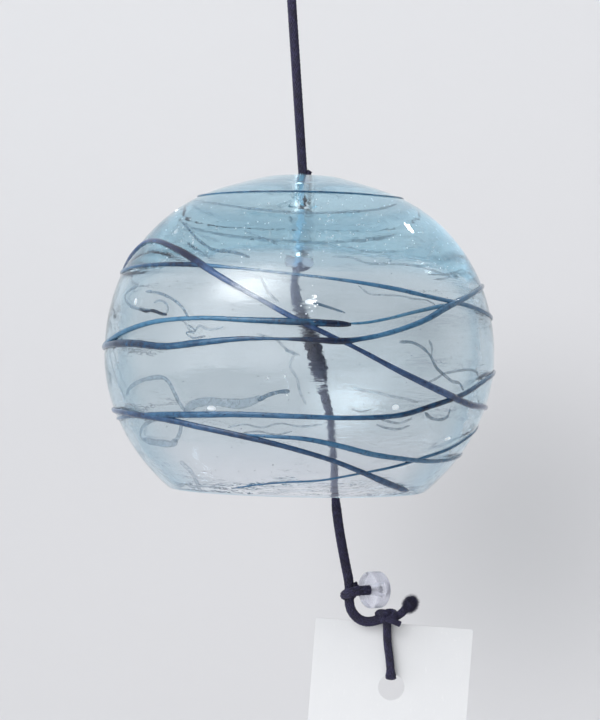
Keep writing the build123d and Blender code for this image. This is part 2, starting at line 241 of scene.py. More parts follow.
def meshPiece(name, points, faces, material):
    mesh = bpy.data.meshes.new(name)
    mesh.from_pydata([tuple(point) for point in points], [], faces)
    shape = bmesh.new()
    shape.from_mesh(mesh)
    bmesh.ops.recalc_face_normals(shape, faces=shape.faces)
    shape.to_mesh(mesh)
    shape.free()
    shadeSmooth(mesh)
    mesh.materials.append(material)
    return addObject(name, mesh)


def ballsPiece(name, balls):
    # round bodies in one mesh, each from its centre and its stretch
    shape = bmesh.new()
    for centre, stretch in balls:
        made = bmesh.ops.create_icosphere(shape, subdivisions=3, radius=1.0)
        for vertex in made["verts"]:
            vertex.co = centre + stretch @ vertex.co
    mesh = bpy.data.meshes.new(name)
    shape.to_mesh(mesh)
    shape.free()
    return addObject(name, mesh)


def gridFaces(rows, columns, closedRows=False):
    # quads between rings, each ring closed on itself
    faces = []
    for row in range(rows if closedRows else rows - 1):
        following = (row + 1) % rows
        for column in range(columns):
            beside = (column + 1) % columns
            faces.append((
                row * columns + column, row * columns + beside,
                following * columns + beside, following * columns + column,
            ))
    return faces


def attach(piece, body, node=None):
    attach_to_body(piece, body)
    if node:
        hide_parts(node)


# Bell glass: a turned wall with the slight waves and ripples of blown glass
bellGlass = {
    "axisX": 0.0061,
    "crownZ": -0.0705,
    "radius": 0.04415,
    "shoulderHeight": 0.0414,
    "skirtHeight": 0.0300,
    "shoulderPower": 2.17,
    "skirtPower": 1.9,
    "skirtReach": 0.0410,
    "crownFlat": 0.0068,
    "crownSlope": 0.273,
    "crownPower": 8,
    "crownThickness": 0.0120,
    "sideWall": 0.0028,
    "hollowPower": 3.0,
    "hollowReach": 0.03996,
    "boreRadius": 0.0023,
    "boreRound": 0.0006,
    "lipRound": 0.0007,
    "columns": 300,
    "crownSteps": 54,
    "skirtSteps": 30,
    "cornerSteps": 5,
    "outerWave": 0.00005,
    "innerWave": 0.00013,
    "waveLength": 0.011,
    "fineWave": 0.5,         # share of the broad wave
    "fineSqueeze": 4,        # how much closer the fine waves lie in height
    "fineOffset": (7, 3, 5),
    "calmCrown": 1.5,        # the waves are full past the radius divided by this
    "calmLip": 0.006,
    "lipWave": 0.05,
    "slopeStep": 0.0005,
}
bellHeight = bellGlass["shoulderHeight"] + bellGlass["skirtHeight"]
hollowRadius = bellGlass["radius"] - bellGlass["sideWall"]
crownCentre = Vector((bellGlass["axisX"], 0, bellGlass["crownZ"]))


def shoulderDepth(radius, halfWidth, height, power):
    return height * (1 - (1 - np.minimum(radius / halfWidth, 1) ** power) ** (1 / power))


def crownDepth(radius):
    sizes = bellGlass
    cone = sizes["crownSlope"] * np.maximum(0, radius - sizes["crownFlat"])
    dome = shoulderDepth(radius, sizes["radius"], sizes["shoulderHeight"], sizes["shoulderPower"])
    return (cone ** sizes["crownPower"] + dome ** sizes["crownPower"]) ** (1 / sizes["crownPower"])


def skirtRadius(drop, halfWidth, reach):
    power = bellGlass["skirtPower"]
    return halfWidth * (1 - (drop / reach) ** power) ** (1 / power)


crownRadii = bellGlass["radius"] * np.sin(np.linspace(0, pi / 2, 600))
crownDepths = crownDepth(crownRadii)


def outsideRadius(depth):
    if depth > bellGlass["shoulderHeight"]:
        drop = min(depth, bellHeight) - bellGlass["shoulderHeight"]
        return float(skirtRadius(drop, bellGlass["radius"], bellGlass["skirtReach"]))
    return float(np.interp(depth, crownDepths, crownRadii))


def onBell(bearing, depth, inset):
    # a point of the outside, or sunk in it, with the outward direction there
    step = bellGlass["slopeStep"]
    slope = (outsideRadius(depth + step) - outsideRadius(depth - step)) / (2 * step)
    tilt = hypot(1, slope)
    turn = radians(bearing)
    outward = Vector((cos(turn) / tilt, sin(turn) / tilt, slope / tilt))
    radius = outsideRadius(depth)
    surface = crownCentre + Vector((radius * cos(turn), radius * sin(turn), -depth))
    return surface - outward * inset, outward


def roundedCorner(before, corner, after, reach, steps=bellGlass["cornerSteps"]):
    # a soft corner, from a point before it to a point past it
    before, corner, after = (np.array(place) for place in (before, corner, after))
    start = corner + (before - corner) * min(1, reach / np.linalg.norm(before - corner))
    end = corner + (after - corner) * min(1, reach / np.linalg.norm(after - corner))
    shares = np.linspace(0, 1, steps + 1)[:, None]
    return list((1 - shares) ** 2 * start + 2 * shares * (1 - shares) * corner + shares ** 2 * end)


def hollowDepth(radius):
    sizes = bellGlass
    height = sizes["shoulderHeight"] - sizes["crownThickness"]
    return sizes["crownThickness"] + shoulderDepth(radius, hollowRadius, height, sizes["hollowPower"])


def wallLine(halfWidth, power, reach, depthAt):
    # one side of the wall as radius and depth, from the bore to the lip
    sizes = bellGlass
    radii = halfWidth * np.sin(np.linspace(0, pi / 2, sizes["crownSteps"] + 1)) ** (2 / power)
    least = sizes["boreRadius"] + 2 * sizes["boreRound"]
    line = [(radius, float(depthAt(radius))) for radius in radii if radius > least]
    line[-1] = (halfWidth, sizes["shoulderHeight"])
    for drop in np.linspace(0, sizes["skirtHeight"], sizes["skirtSteps"] + 1)[1:]:
        line.append((skirtRadius(drop, halfWidth, reach), sizes["shoulderHeight"] + drop))
    return line


def bellOutline():
    # the wall all round as radius, depth and how much that place may ripple
    sizes = bellGlass
    outer = wallLine(sizes["radius"], sizes["shoulderPower"], sizes["skirtReach"], crownDepth)
    inner = wallLine(hollowRadius, sizes["hollowPower"], sizes["hollowReach"], hollowDepth)[::-1]
    boreTop, boreFoot = (sizes["boreRadius"], 0.0), (sizes["boreRadius"], sizes["crownThickness"])
    lipOut, lipIn = outer[-1], inner[0]
    outer, inner = (
        [place for place in line if place[1] < bellHeight - sizes["lipRound"]]
        for line in (outer, inner)
    )
    lip = roundedCorner(outer[-1], lipOut, lipIn, sizes["lipRound"])
    lip += roundedCorner(lipOut, lipIn, inner[0], sizes["lipRound"])
    stretches = (
        (roundedCorner(boreFoot, boreTop, outer[0], sizes["boreRound"]), 0.0),
        (outer, sizes["outerWave"]),
        (lip, 0.0),
        (inner, sizes["innerWave"]),
        (roundedCorner(inner[-1], boreFoot, boreTop, sizes["boreRound"]), 0.0),
    )
    return [(radius, depth, wave) for line, wave in stretches for radius, depth in line]


def bellSwell(place, wave):
    # broad waves and finer flat ones
    if not wave:
        return 0.0
    sizes = bellGlass
    swell = noise.noise(place / sizes["waveLength"])
    flat = Vector((place.x, place.y, place.z * sizes["fineSqueeze"])) / sizes["waveLength"]
    return wave * (swell + sizes["fineWave"] * noise.noise(flat + Vector(sizes["fineOffset"])))


def makeBell(material):
    sizes = bellGlass
    outline = bellOutline()
    points = []
    for radius, depth, wave in outline:
        ease = min(1, radius / sizes["radius"] * sizes["calmCrown"])
        ease *= min(1, (bellHeight - depth) / sizes["calmLip"] + sizes["lipWave"])
        for column in range(sizes["columns"]):
            turn = 2 * pi * column / sizes["columns"]
            place = Vector((radius * cos(turn), radius * sin(turn), -depth))
            reach = radius + bellSwell(place, wave) * ease
            points.append(crownCentre + Vector((reach * cos(turn), reach * sin(turn), -depth)))
    faces = gridFaces(len(outline), sizes["columns"], True)
    piece = meshPiece("bell_glass_blown", points, faces, material)
    attach(piece, "bell", "bell_glass")


bellFinish = {
    "ior": 1.48,
    "roughness": 0.01,
    "tint": (0.82, 0.87, 0.895),
    "paleTint": (0.78, 0.835, 0.865),
    "footTint": (0.93, 0.935, 0.955),
    "edgeTint": (0.46, 0.68, 0.80),
    "absorbColour": (0.15, 0.69, 0.86),
    "absorbDensity": 9.0,
    "rippleDistance": 0.0004,
}


def makeGlassMaterial():
    finish = Finish("pale_blown_glass", {
        "IOR": bellFinish["ior"], "Transmission Weight": 1.0, "Roughness": bellFinish["roughness"],
    })
    broad = finish.noise(0.06, 3.0, (1, 1, 3))
    streaks = finish.noise(0.45, 3.0, (0.35, 0.35, 3.2), 0.6)
    fine = finish.noise(1.1, 2.0, (0.8, 0.8, 1.6))
    patches = finish.smoothStep(broad, 0.42, 0.66)
    height = streaks * patches * 0.8 + fine * 0.12 + broad * 0.5
    finish.bump(height, 0.22, bellFinish["rippleDistance"])
    pale = finish.blendColours(patches, bellFinish["tint"], bellFinish["paleTint"])
    level = finish.part(finish.millimetres(), "Z")
    foot = finish.smoothStep(level, -122.0, -143.0)
    pale = finish.blendColours(foot, pale, bellFinish["footTint"])
    # painted edge shade: the glass is tinted a deeper blue where it is seen edge-on, for the longer path
    # of light through the wall there
    edge = finish.add("ShaderNodeLayerWeight", {"Blend": 0.5}, output="Facing")
    edge = finish.smoothStep(edge, 0.42, 0.85)
    finish.colour(finish.blendColours(edge, pale, bellFinish["edgeTint"]))
    finish.absorb(bellFinish["absorbColour"], bellFinish["absorbDensity"])
    return finish.material


# Glass threads. Each place is a bearing in degrees, from the right side by way of the back,
# a share of the bell's height, a share of the thread's thickness and how dark it is.
threads = {
    "crown_thread": {"thickness": 0.0008, "hue": 0.15, "closed": True, "route": [
        (0, 0.0705, 0.6, 0.5), (20, 0.075, 0.5, 0.4), (40, 0.080, 0.5, 0.35), (60, 0.086, 0.6, 0.3),
        (80, 0.089, 0.6, 0.3), (100, 0.087, 0.6, 0.3), (120, 0.083, 0.6, 0.35),
        (140, 0.0795, 0.7, 0.4), (160, 0.0775, 0.8, 0.45), (180, 0.0770, 0.8, 0.5),
        (200, 0.0785, 0.7, 0.6), (220, 0.0785, 0.6, 0.7), (240, 0.0780, 0.65, 0.8),
        (260, 0.078, 0.7, 0.85), (280, 0.0772, 0.7, 0.8), (300, 0.0770, 0.65, 0.7),
        (320, 0.0765, 0.6, 0.6), (338, 0.0735, 0.6, 0.5),
    ]},
    "diagonal_thread": {"thickness": 0.00135, "hue": 0.8, "route": [
        (165, 0.37, 0.5, 0.3), (177, 0.33, 0.6, 0.35), (189, 0.265, 0.7, 0.45),
        (200, 0.232, 0.75, 0.6), (211, 0.233, 0.9, 0.75), (222, 0.253, 1.0, 0.9),
        (233, 0.287, 1.2, 1.0), (245, 0.343, 1.0, 0.6), (257, 0.404, 0.7, 0.22),
        (270, 0.4745, 0.9, 0.8), (284, 0.542, 0.7, 0.75), (299, 0.616, 0.95, 0.7),
        (314, 0.671, 1.15, 0.7), (330, 0.711, 1.1, 0.75), (346, 0.721, 0.9, 0.5),
        (2, 0.731, 0.6, 0.35), (18, 0.737, 0.4, 0.25), (34, 0.742, 0.3, 0.2), (48, 0.748, 0.2, 0.2),
    ]},
    "upper_thread": {"thickness": 0.0012, "hue": 0.3, "route": [
        (120, 0.30, 0.2, 0.2), (134, 0.308, 0.3, 0.2), (148, 0.318, 0.35, 0.25),
        (162, 0.325, 0.45, 0.3), (176, 0.325, 0.6, 0.35), (190, 0.32, 0.8, 0.5),
        (205, 0.311, 0.75, 0.7), (220, 0.309, 0.85, 0.85), (235, 0.311, 0.95, 0.9),
        (250, 0.3205, 0.55, 0.35), (267, 0.336, 0.5, 0.3), (284, 0.3535, 0.65, 0.55),
        (299, 0.3735, 0.85, 0.6), (312, 0.394, 0.8, 0.6), (326, 0.410, 0.85, 0.6),
        (340, 0.426, 0.8, 0.55), (354, 0.442, 0.7, 0.45), (8, 0.453, 0.4, 0.3),
        (22, 0.461, 0.3, 0.25), (36, 0.466, 0.25, 0.2), (50, 0.469, 0.2, 0.2),
    ]},
    "middle_thread": {"thickness": 0.00135, "hue": 0.1, "route": [
        (140, 0.58, 0.25, 0.2), (155, 0.577, 0.4, 0.25), (170, 0.57, 0.55, 0.35),
        (186, 0.558, 0.75, 0.5), (200, 0.535, 0.9, 0.6), (213, 0.506, 0.9, 0.65),
        (226, 0.481, 0.8, 0.6), (241, 0.47, 0.7, 0.6), (256, 0.474, 0.9, 0.75),
        (270, 0.477, 1.15, 0.9), (284, 0.481, 1.1, 1.0),
    ]},
    "branch_thread": {"thickness": 0.0008, "hue": 0.1, "route": [
        (282, 0.479, 0.6, 0.6), (288, 0.475, 0.75, 0.55), (295, 0.461, 0.8, 0.55),
        (303, 0.441, 0.95, 0.5), (311, 0.424, 1.1, 0.55), (318, 0.411, 1.2, 0.6),
    ]},
    "wavy_thread": {"thickness": 0.0012, "hue": 0.25, "route": [
        (120, 0.57, 0.2, 0.2), (134, 0.572, 0.25, 0.2), (148, 0.57, 0.3, 0.25),
        (162, 0.566, 0.45, 0.3), (176, 0.562, 0.7, 0.4), (190, 0.556, 1.0, 0.6),
        (204, 0.549, 1.35, 0.9), (217, 0.548, 1.4, 0.9), (230, 0.555, 1.25, 0.85),
        (242, 0.542, 1.2, 0.75), (254, 0.529, 0.9, 0.8), (264, 0.527, 0.5, 0.85),
        # the darkest stretch, near bearings 273 to 281, is partly the thread's own dark blue and partly
        # painted shade for the dark knot seen through the glass behind it
        (273, 0.528, 0.9, 1.0), (281, 0.530, 1.2, 1.0), (286, 0.524, 0.9, 0.8),
        (294, 0.506, 0.9, 0.6), (306, 0.467, 1.0, 0.65), (318, 0.416, 1.2, 0.7),
        (332, 0.378, 0.95, 0.5), (347, 0.349, 0.9, 0.45), (2, 0.337, 0.6, 0.3),
        (18, 0.33, 0.4, 0.25), (34, 0.325, 0.3, 0.2), (50, 0.322, 0.2, 0.2),
    ]},
    "lower_thread": {"thickness": 0.0012, "hue": 0.35, "route": [
        (110, 0.79, 0.2, 0.2), (124, 0.791, 0.25, 0.2), (138, 0.79, 0.3, 0.2),
        (152, 0.788, 0.3, 0.25), (166, 0.786, 0.4, 0.3), (180, 0.785, 0.5, 0.4),
        (194, 0.780, 0.6, 0.5), (208, 0.769, 0.8, 0.7), (222, 0.76, 1.1, 0.75),
        (238, 0.754, 1.2, 0.7), (254, 0.749, 1.1, 0.7), (270, 0.751, 0.95, 0.7),
        (285, 0.753, 0.9, 0.75), (300, 0.744, 1.0, 0.85), (312, 0.714, 1.05, 0.9),
        (324, 0.683, 1.0, 0.85), (338, 0.64, 0.9, 0.65), (352, 0.617, 0.8, 0.45),
        (7, 0.603, 0.5, 0.3), (22, 0.595, 0.4, 0.25), (37, 0.588, 0.3, 0.2), (52, 0.584, 0.2, 0.2),
    ]},
    "falling_thread": {"thickness": 0.00135, "hue": 0.6, "route": [
        (100, 0.742, 0.2, 0.2), (114, 0.741, 0.25, 0.2), (128, 0.743, 0.3, 0.2),
        (142, 0.746, 0.35, 0.25), (157, 0.75, 0.5, 0.3), (172, 0.753, 0.7, 0.4),
        (187, 0.756, 0.9, 0.55), (201, 0.758, 1.0, 0.75), (214, 0.763, 1.15, 0.8),
        (227, 0.771, 1.1, 0.75), (239, 0.789, 1.05, 0.75), (252, 0.811, 1.0, 0.85),
        (265, 0.838, 0.9, 0.85), (280, 0.876, 0.85, 0.8), (292, 0.912, 0.9, 0.75),
        (304, 0.945, 1.15, 0.75), (315, 0.968, 1.1, 0.75), (323, 0.981, 0.9, 0.45),
    ]},
    "low_thread": {"thickness": 0.00095, "hue": 0.3, "route": [
        (250, 0.808, 0.5, 0.6), (261, 0.812, 0.8, 0.65), (272, 0.817, 1.1, 0.7),
        (283, 0.836, 1.3, 0.6), (295, 0.861, 1.35, 0.6), (309, 0.877, 1.2, 0.6),
        (323, 0.886, 1.1, 0.5), (338, 0.884, 0.95, 0.45), (353, 0.875, 0.7, 0.35),
        (9, 0.867, 0.5, 0.3), (25, 0.86, 0.4, 0.25), (41, 0.856, 0.35, 0.2), (57, 0.853, 0.3, 0.2),
        (73, 0.851, 0.3, 0.2), (89, 0.852, 0.25, 0.2), (105, 0.855, 0.25, 0.2), (121, 0.859, 0.2, 0.2),
    ]},
    "rim_thread": {"thickness": 0.0008, "hue": 0.35, "route": [
        (243, 0.978, 0.35, 0.6), (254, 0.963, 0.5, 0.65), (266, 0.951, 0.6, 0.65),
        (279, 0.943, 0.65, 0.6), (292, 0.9225, 0.7, 0.6), (305, 0.901, 0.85, 0.7),
        (317, 0.874, 1.0, 0.65), (329, 0.850, 1.05, 0.65), (342, 0.816, 0.8, 0.6),
        (356, 0.79, 0.6, 0.4), (11, 0.767, 0.5, 0.3), (26, 0.764, 0.4, 0.25),
        (41, 0.766, 0.35, 0.2), (56, 0.769, 0.3, 0.2), (71, 0.771, 0.25, 0.2),
    ]},
}
threadShape = {
    "sides": 12,
    "stepDegrees": 1.2,
    "flatness": 0.72,        # height over width
    "sink": 0.25,            # share of the height that lies in the glass
    "leastWidth": 0.15,      # share of the thickness
    "wobble": 0.08,
    "wobbleDegrees": 3,
    "endSteps": 5,
}


def smoothRows(rows, counts):
    # rows of numbers run through by Catmull-Rom curves
    rows = np.array(rows, float)
    padded = np.vstack([2 * rows[0] - rows[1], rows, 2 * rows[-1] - rows[-2]])
    made = []
    for index, count in enumerate(counts):
        a, b, c, d = padded[index:index + 4]
        for share in np.arange(count) / count:
            made.append(0.5 * (
                2 * b + (c - a) * share + (2 * a - 5 * b + 4 * c - d) * share ** 2
                + (3 * b - a - 3 * c + d) * share ** 3
            ))
    made.append(rows[-1])
    return np.array(made)


def tubeRings(centres, outwards, widths, shape, closed=False):
    # an oval tube whose flat side follows the outward directions
    sides, flatness = shape["sides"], shape["flatness"]
    points = []
    total = len(centres)
    for index, centre in enumerate(centres):
        before = centres[(index - 1) % total if closed else max(index - 1, 0)]
        after = centres[(index + 1) % total if closed else min(index + 1, total - 1)]
        along = (after - before).normalized()
        beside = along.cross(outwards[index]).normalized()
        above = beside.cross(along)
        for side in range(sides):
            turn = 2 * pi * side / sides
            across = beside * cos(turn) + above * (sin(turn) * flatness)
            points.append(centre + across * (widths[index] / 2))
    faces = gridFaces(total, sides, closed)
    if not closed:
        faces.append(tuple(range(sides)))
        faces.append(tuple(reversed(range((total - 1) * sides, total * sides))))
    return points, faces


def taper(index, total, steps, tip=0.5):
    # how far a place is from the nearer end of a line, as a share of the tapered stretch
    return min(1, (min(index, total - 1 - index) + tip) / steps)


def makeThread(name, material):
    thread = threads[name]
    shape = threadShape
    route = list(thread["route"])
    closed = thread.get("closed", False)
    if closed:
        route.append(route[0])
    unwound = [list(route[0])]
    for place in route[1:]:
        turn = (place[0] - unwound[-1][0]) % 360
        unwound.append([unwound[-1][0] + turn, *place[1:]])
    counts = [
        max(2, round((after[0] - before[0]) / shape["stepDegrees"]))
        for before, after in zip(unwound, unwound[1:])
    ]
    rows = smoothRows(unwound, counts)
    if closed:
        rows = rows[:-1]
    seed = Vector((sum(map(ord, name)), 0, 0))
    centres, outwards, widths = [], [], []
    for index, (bearing, depthShare, widthShare, _) in enumerate(rows):
        place = Vector((bearing / shape["wobbleDegrees"], 0, 0)) + seed
        ripple = 1 + shape["wobble"] * noise.noise(place)
        width = max(widthShare, shape["leastWidth"]) * thread["thickness"] * ripple
        if not closed:
            share = taper(index, len(rows), shape["endSteps"])
            width *= (1 - (1 - share) ** 2) ** 0.5
        sunk = width * shape["flatness"] * (shape["sink"] - 0.5)
        centre, outward = onBell(bearing, depthShare * bellHeight, sunk)
        centres.append(centre)
        outwards.append(outward)
        widths.append(width)
    points, faces = tubeRings(centres, outwards, widths, shape, closed)
    piece = meshPiece(name + "_glass", points, faces, material)
    storeValues(piece, "shade", np.repeat(rows[:, 3], shape["sides"]).tolist())
    storeValues(piece, "hue", [thread["hue"]] * len(points))
    attach(piece, "bell", name)


def makeThreadMaterial():
    finish = Finish("blue_thread_glass", {
        "IOR": 1.45, "Transmission Weight": 0.2, "Coat Weight": 0.25, "Coat Roughness": 0.08,
        "Specular IOR Level": 0.35,
    })
    shade = finish.stored("shade")
    hue = finish.stored("hue")
    grain = finish.noise(0.55, 3.0)
    specks = finish.noise(3.0, 1.0)
    depth = (shade + (grain - 0.5) * 0.5).clamped()
    teal = finish.colourRamp(depth, [
        (0.0, (0.33, 0.46, 0.56)), (0.35, (0.14, 0.31, 0.44)), (0.6, (0.055, 0.20, 0.34)),
        (0.85, (0.010, 0.075, 0.16)), (1.0, (0.008, 0.018, 0.045)),
    ])
    cobalt = finish.colourRamp(depth, [
        (0.0, (0.40, 0.42, 0.54)), (0.35, (0.16, 0.20, 0.36)), (0.6, (0.050, 0.095, 0.24)),
        (0.85, (0.020, 0.032, 0.090)), (1.0, (0.008, 0.012, 0.042)),
    ])
    blue = finish.blendColours(hue, teal, cobalt)
    dark = finish.smoothStep(specks, 0.62, 0.68)
    finish.colour(finish.blendColours(dark * 0.85, blue, (0.006, 0.009, 0.03)))
    finish.feed(finish.shader.inputs["Alpha"], 0.25 + finish.smoothStep(depth, 0.12, 0.62) * 0.75)
    finish.roughness(0.1 + grain * 0.2)
    finish.bump(grain, 0.3, 0.0001)
    return finish.material


# Fine marks in the glass, each drawn through places of the picture and laid in the near wall
wallTrails = {
    "inset": 0.0007,
    "widen": 1.35,
    "flatness": 0.5,
    "sides": 8,
    "pointsEach": 7,
    "tip": 0.6,
    "taperSteps": 3,
    "swell": 0.35,
    "swellSteps": 4,
    "swellApart": 5.3,
    "trails": [               # width in metres, how dark, and the places in the picture
        (0.00045, 0.5, [(147, 292), (158, 293), (168, 296.5), (177, 302), (184, 308.7),
         (187.5, 315), (190, 321)]),
        (0.00055, 0.45, [(139, 287), (130, 292), (127, 299), (133, 307), (144, 310), (155, 311)]),
        (0.0005, 1.0, [(141, 309), (147, 311.5), (154, 311), (163, 314), (168, 315)]),
        (0.0004, 0.4, [(155, 303), (161, 301), (167, 304), (169, 310), (165, 315), (158, 313)]),
        (0.0004, 0.35, [(178, 318), (185, 322), (189, 328), (194, 333), (200, 326), (210, 330),
         (224, 327)]),
        (0.0003, 0.5, [(189, 325), (196, 331), (187, 333), (194, 338), (206, 336)]),
        (0.00045, 0.35, [(111, 345), (113, 358), (116, 371), (120, 383), (124, 391), (127, 400)]),
        (0.0007, 0.4, [(128, 395), (132, 387), (141, 381), (151, 378), (162, 377), (169, 381),
         (174, 390), (180, 402), (186, 411)]),
        (0.0014, 0.35, [(186, 411), (191, 406), (199, 402.5), (212, 401), (226, 402.5),
         (240, 403.5), (252, 401), (262, 397)]),
        (0.0007, 0.55, [(258, 400), (269, 394.5), (280, 391.6), (290, 391)]),
        (0.00045, 0.45, [(146, 420), (156, 415.8), (166, 414), (176, 415.5)]),
        (0.0006, 0.4, [(160, 419), (151, 421), (144, 426.5), (142, 436), (148, 440)]),
        (0.0013, 0.4, [(145, 439), (153, 441), (163, 442.5), (172, 443), (178, 440)]),
        (0.0008, 0.4, [(176, 441), (180, 434), (182, 426), (182, 419)]),
        (0.0011, 0.25, [(181, 460), (187, 466), (194, 473.5), (198, 482), (201, 491)]),
        (0.0005, 0.5, [(399, 342), (411, 342.5), (422, 348), (430, 357), (435, 367), (442, 374),
         (451, 381), (458, 383), (462, 390)]),
        (0.0004, 0.45, [(441, 373.5), (455, 371), (467, 369.5), (475, 372.5), (476, 382),
         (471, 392)]),
        (0.0004, 0.4, [(442, 374), (434, 379), (427, 382)]),
        (0.0004, 0.4, [(428, 340), (431, 348), (430, 357)]),
        (0.0005, 0.55, [(184, 224), (190, 231), (197, 239), (206, 246), (216, 251), (231, 252.5),
         (242, 255), (250, 258)]),
        (0.0006, 0.45, [(192, 201.5), (204, 203), (217, 204.6), (243, 208.5), (270, 211.5),
         (295, 213.5), (318, 213.8), (344, 213), (367, 211.5), (384, 209), (396, 205)]),
        (0.0005, 0.3, [(187, 206), (196, 208.5), (206, 213), (216, 217)]),
        (0.0004, 0.35, [(245, 231), (252, 234.5), (262, 238.5), (270, 241), (278, 246)]),
        (0.0004, 0.3, [(310, 244.5), (330, 246), (348, 248), (364, 252), (382, 252.5), (400, 252)]),
        (0.0004, 0.35, [(332, 257), (350, 258), (368, 264), (384, 264.5), (402, 265), (418, 267),
         (432, 271), (446, 275), (461, 270)]),
        (0.0003, 0.4, [(427, 275), (441, 275.5), (449, 277), (442, 279.5), (433, 280)]),
        (0.0003, 0.35, [(358, 286), (369, 294), (384, 295.5), (400, 296.5), (412, 299),
         (425, 300.5), (434, 305)]),
        (0.0004, 0.6, [(306, 300), (314, 303), (327, 307), (345, 313)]),
        (0.0005, 0.5, [(424, 412), (430, 417.5), (439, 419), (446, 416), (449, 408)]),
        (0.0004, 0.4, [(380, 419), (388, 421), (399, 422.5), (411, 418)]),
        (0.0004, 0.4, [(376, 424), (386, 427.5), (398, 428.5), (409, 425)]),
        (0.0004, 0.25, [(352, 387), (362, 390), (375, 392), (391, 396), (405, 398.5), (417, 402)]),
        (0.0004, 0.3, [(261, 277), (266, 288), (272, 296), (279, 302)]),
        (0.0004, 0.35, [(257, 334), (268, 337), (277, 340), (283, 346), (290, 352), (300, 355)]),
        (0.0004, 0.25, [(285, 351), (294, 353), (290, 366), (297, 378), (300, 392), (306, 404)]),
        (0.0003, 0.35, [(228, 427), (245, 424), (262, 427), (280, 423), (300, 426), (322, 424)]),
        (0.0003, 0.4, [(240, 433), (258, 431), (276, 434), (292, 431)]),
        (0.0003, 0.3, [(350, 408), (361, 411), (372, 408)]),
    ],
}
glassSeeds = {
    "fine": {"low": 0.08, "high": 0.30, "density": 1.1e5, "least": 0.00006, "most": 0.00017, "seed": 3},
    "dark": {"low": 0.30, "high": 0.97, "density": 3.5e4, "least": 0.00006, "most": 0.00014, "seed": 11},
    "columns": 90,
    "rows": 40,
    "deepest": 0.8,           # share of the wall
    "large": [                # painted glints, white glowing blobs for lamp highlights: place in the picture, and half width and half height
        (309, 302, 0.00085, 0.00055), (212, 408, 0.0010, 0.00055), (395, 407, 0.00085, 0.0006),
        (446, 438, 0.0010, 0.0004), (137, 302, 0.0005, 0.0008), (315, 306.5, 0.00025, 0.0002),
        (301, 306, 0.0002, 0.00018), (312, 311, 0.0002, 0.0002), (306, 314, 0.00016, 0.00016),
        (179, 211, 0.0009, 0.00035), (287, 395, 0.0002, 0.0002), (268, 378, 0.0002, 0.00018),
        (285, 376, 0.0002, 0.0002),
    ],
    "inset": 0.0006,
    "flatness": 0.5,          # depth of a painted glint over its height
}


def onWall(x, y, inset, halvings=36):
    # where the ray through a pixel of the picture meets the near wall
    start = Vector(cameraView["place"])
    ray = pixelRay(x, y)
    inside = (crownCentre.y - start.y) / ray.y
    outside = inside - 2 * bellGlass["radius"]
    for _ in range(halvings):
        middle = (inside + outside) / 2
        off = start + ray * middle - crownCentre
        if hypot(off.x, off.y) < outsideRadius(max(-off.z, 0.0)) - inset:
            inside = middle
        else:
            outside = middle
    return start + ray * inside


def makeTrails(material):
    sizes = wallTrails
    points, faces, shades = [], [], []
    for number, (width, shade, places) in enumerate(sizes["trails"]):
        rows = smoothRows(places, [sizes["pointsEach"]] * (len(places) - 1))
        line = [onWall(x, y, sizes["inset"]) for x, y in rows]
        outwards, widths = [], []
        for index, place in enumerate(line):
            outwards.append(Vector((place.x - bellGlass["axisX"], place.y, 0)).normalized())
            ease = taper(index, len(line), sizes["taperSteps"], sizes["tip"]) ** 0.5
            drift = Vector((index / sizes["swellSteps"], number * sizes["swellApart"], 0))
            swell = 1 + sizes["swell"] * noise.noise(drift)
            widths.append(width * sizes["widen"] * ease * swell)
        tubePoints, tubeFaces = tubeRings(line, outwards, widths, sizes)
        faces += [tuple(len(points) + corner for corner in face) for face in tubeFaces]
        points += tubePoints
        shades += [shade] * len(tubePoints)
    piece = meshPiece("wall_trails", points, faces, material)
    storeValues(piece, "shade", shades)
    attach(piece, "bell")


def makeTrailMaterial():
    finish = Finish("wall_trail_glass", {"IOR": 1.4, "Specular IOR Level": 0.2})
    shade = finish.stored("shade")
    grain = finish.noise(1.3, 3.0)
    depth = (shade + (grain - 0.5) * 0.7).clamped()
    blue = finish.colourRamp(depth, [
        (0.0, (0.42, 0.58, 0.70)), (0.45, (0.25, 0.42, 0.56)), (0.75, (0.09, 0.18, 0.30)),
        (1.0, (0.012, 0.03, 0.07)),
    ])
    finish.colour(blue)
    finish.feed(finish.shader.inputs["Alpha"], 0.12 + finish.smoothStep(depth, 0.15, 1.0) * 0.8)
    finish.roughness(0.35 + grain * 0.3)
    return finish.material


def makeSeedMaterial(name, constants, light, deep, rough):
    finish = Finish(name, constants)
    mottle = finish.noise(1.5)
    finish.colour(finish.blendColours(mottle, light, deep))
    finish.roughness(rough + mottle * 0.2)
    return finish.material


print("bell and threads")
glassMaterial = makeGlassMaterial()
threadMaterial = makeThreadMaterial()
makeBell(glassMaterial)
for threadName in threads:
    makeThread(threadName, threadMaterial)
makeTrails(makeTrailMaterial())

print("cords, knots and beads")
# Cords: a core with strands braided round it, on the line of the route
hangingLoop = {
    "body": "hanger", "node": "hanging_loop", "lay": "hanging",
    "diameter": 0.0020, "length": 0.0640, "route": [
        (0.0023, 0, -0.0262), (0.0042, 0, -0.0184), (0.0063, 0, -0.0127), (0.0069, 0, -0.0071),
        (0.0054, 0, -0.0022), (0.0019, 0, 0.0010), (-0.0025, 0, 0.0012), (-0.0062, 0, -0.0016),
        (-0.0079, 0, -0.0063), (-0.0060, 0, -0.0126), (-0.0027, 0, -0.0179), (0.0018, 0, -0.0254),
    ],
}
upperCord = {
    "body": "top_cord", "node": "upper_cord", "lay": "taut",
    "diameter": 0.0020, "length": 0.0445,
    "route": [(0.0024, 0, -0.0271), (0.0061, 0, -0.0705)],
}
crownCord = {
    "body": "crown", "node": "crown_cord",
    "diameter": 0.0018, "route": [
        (0.0061, 0, -0.0702), (0.0059, 0, -0.0760), (0.0055, 0, -0.0820), (0.0054, 0, -0.0867),
    ],
}
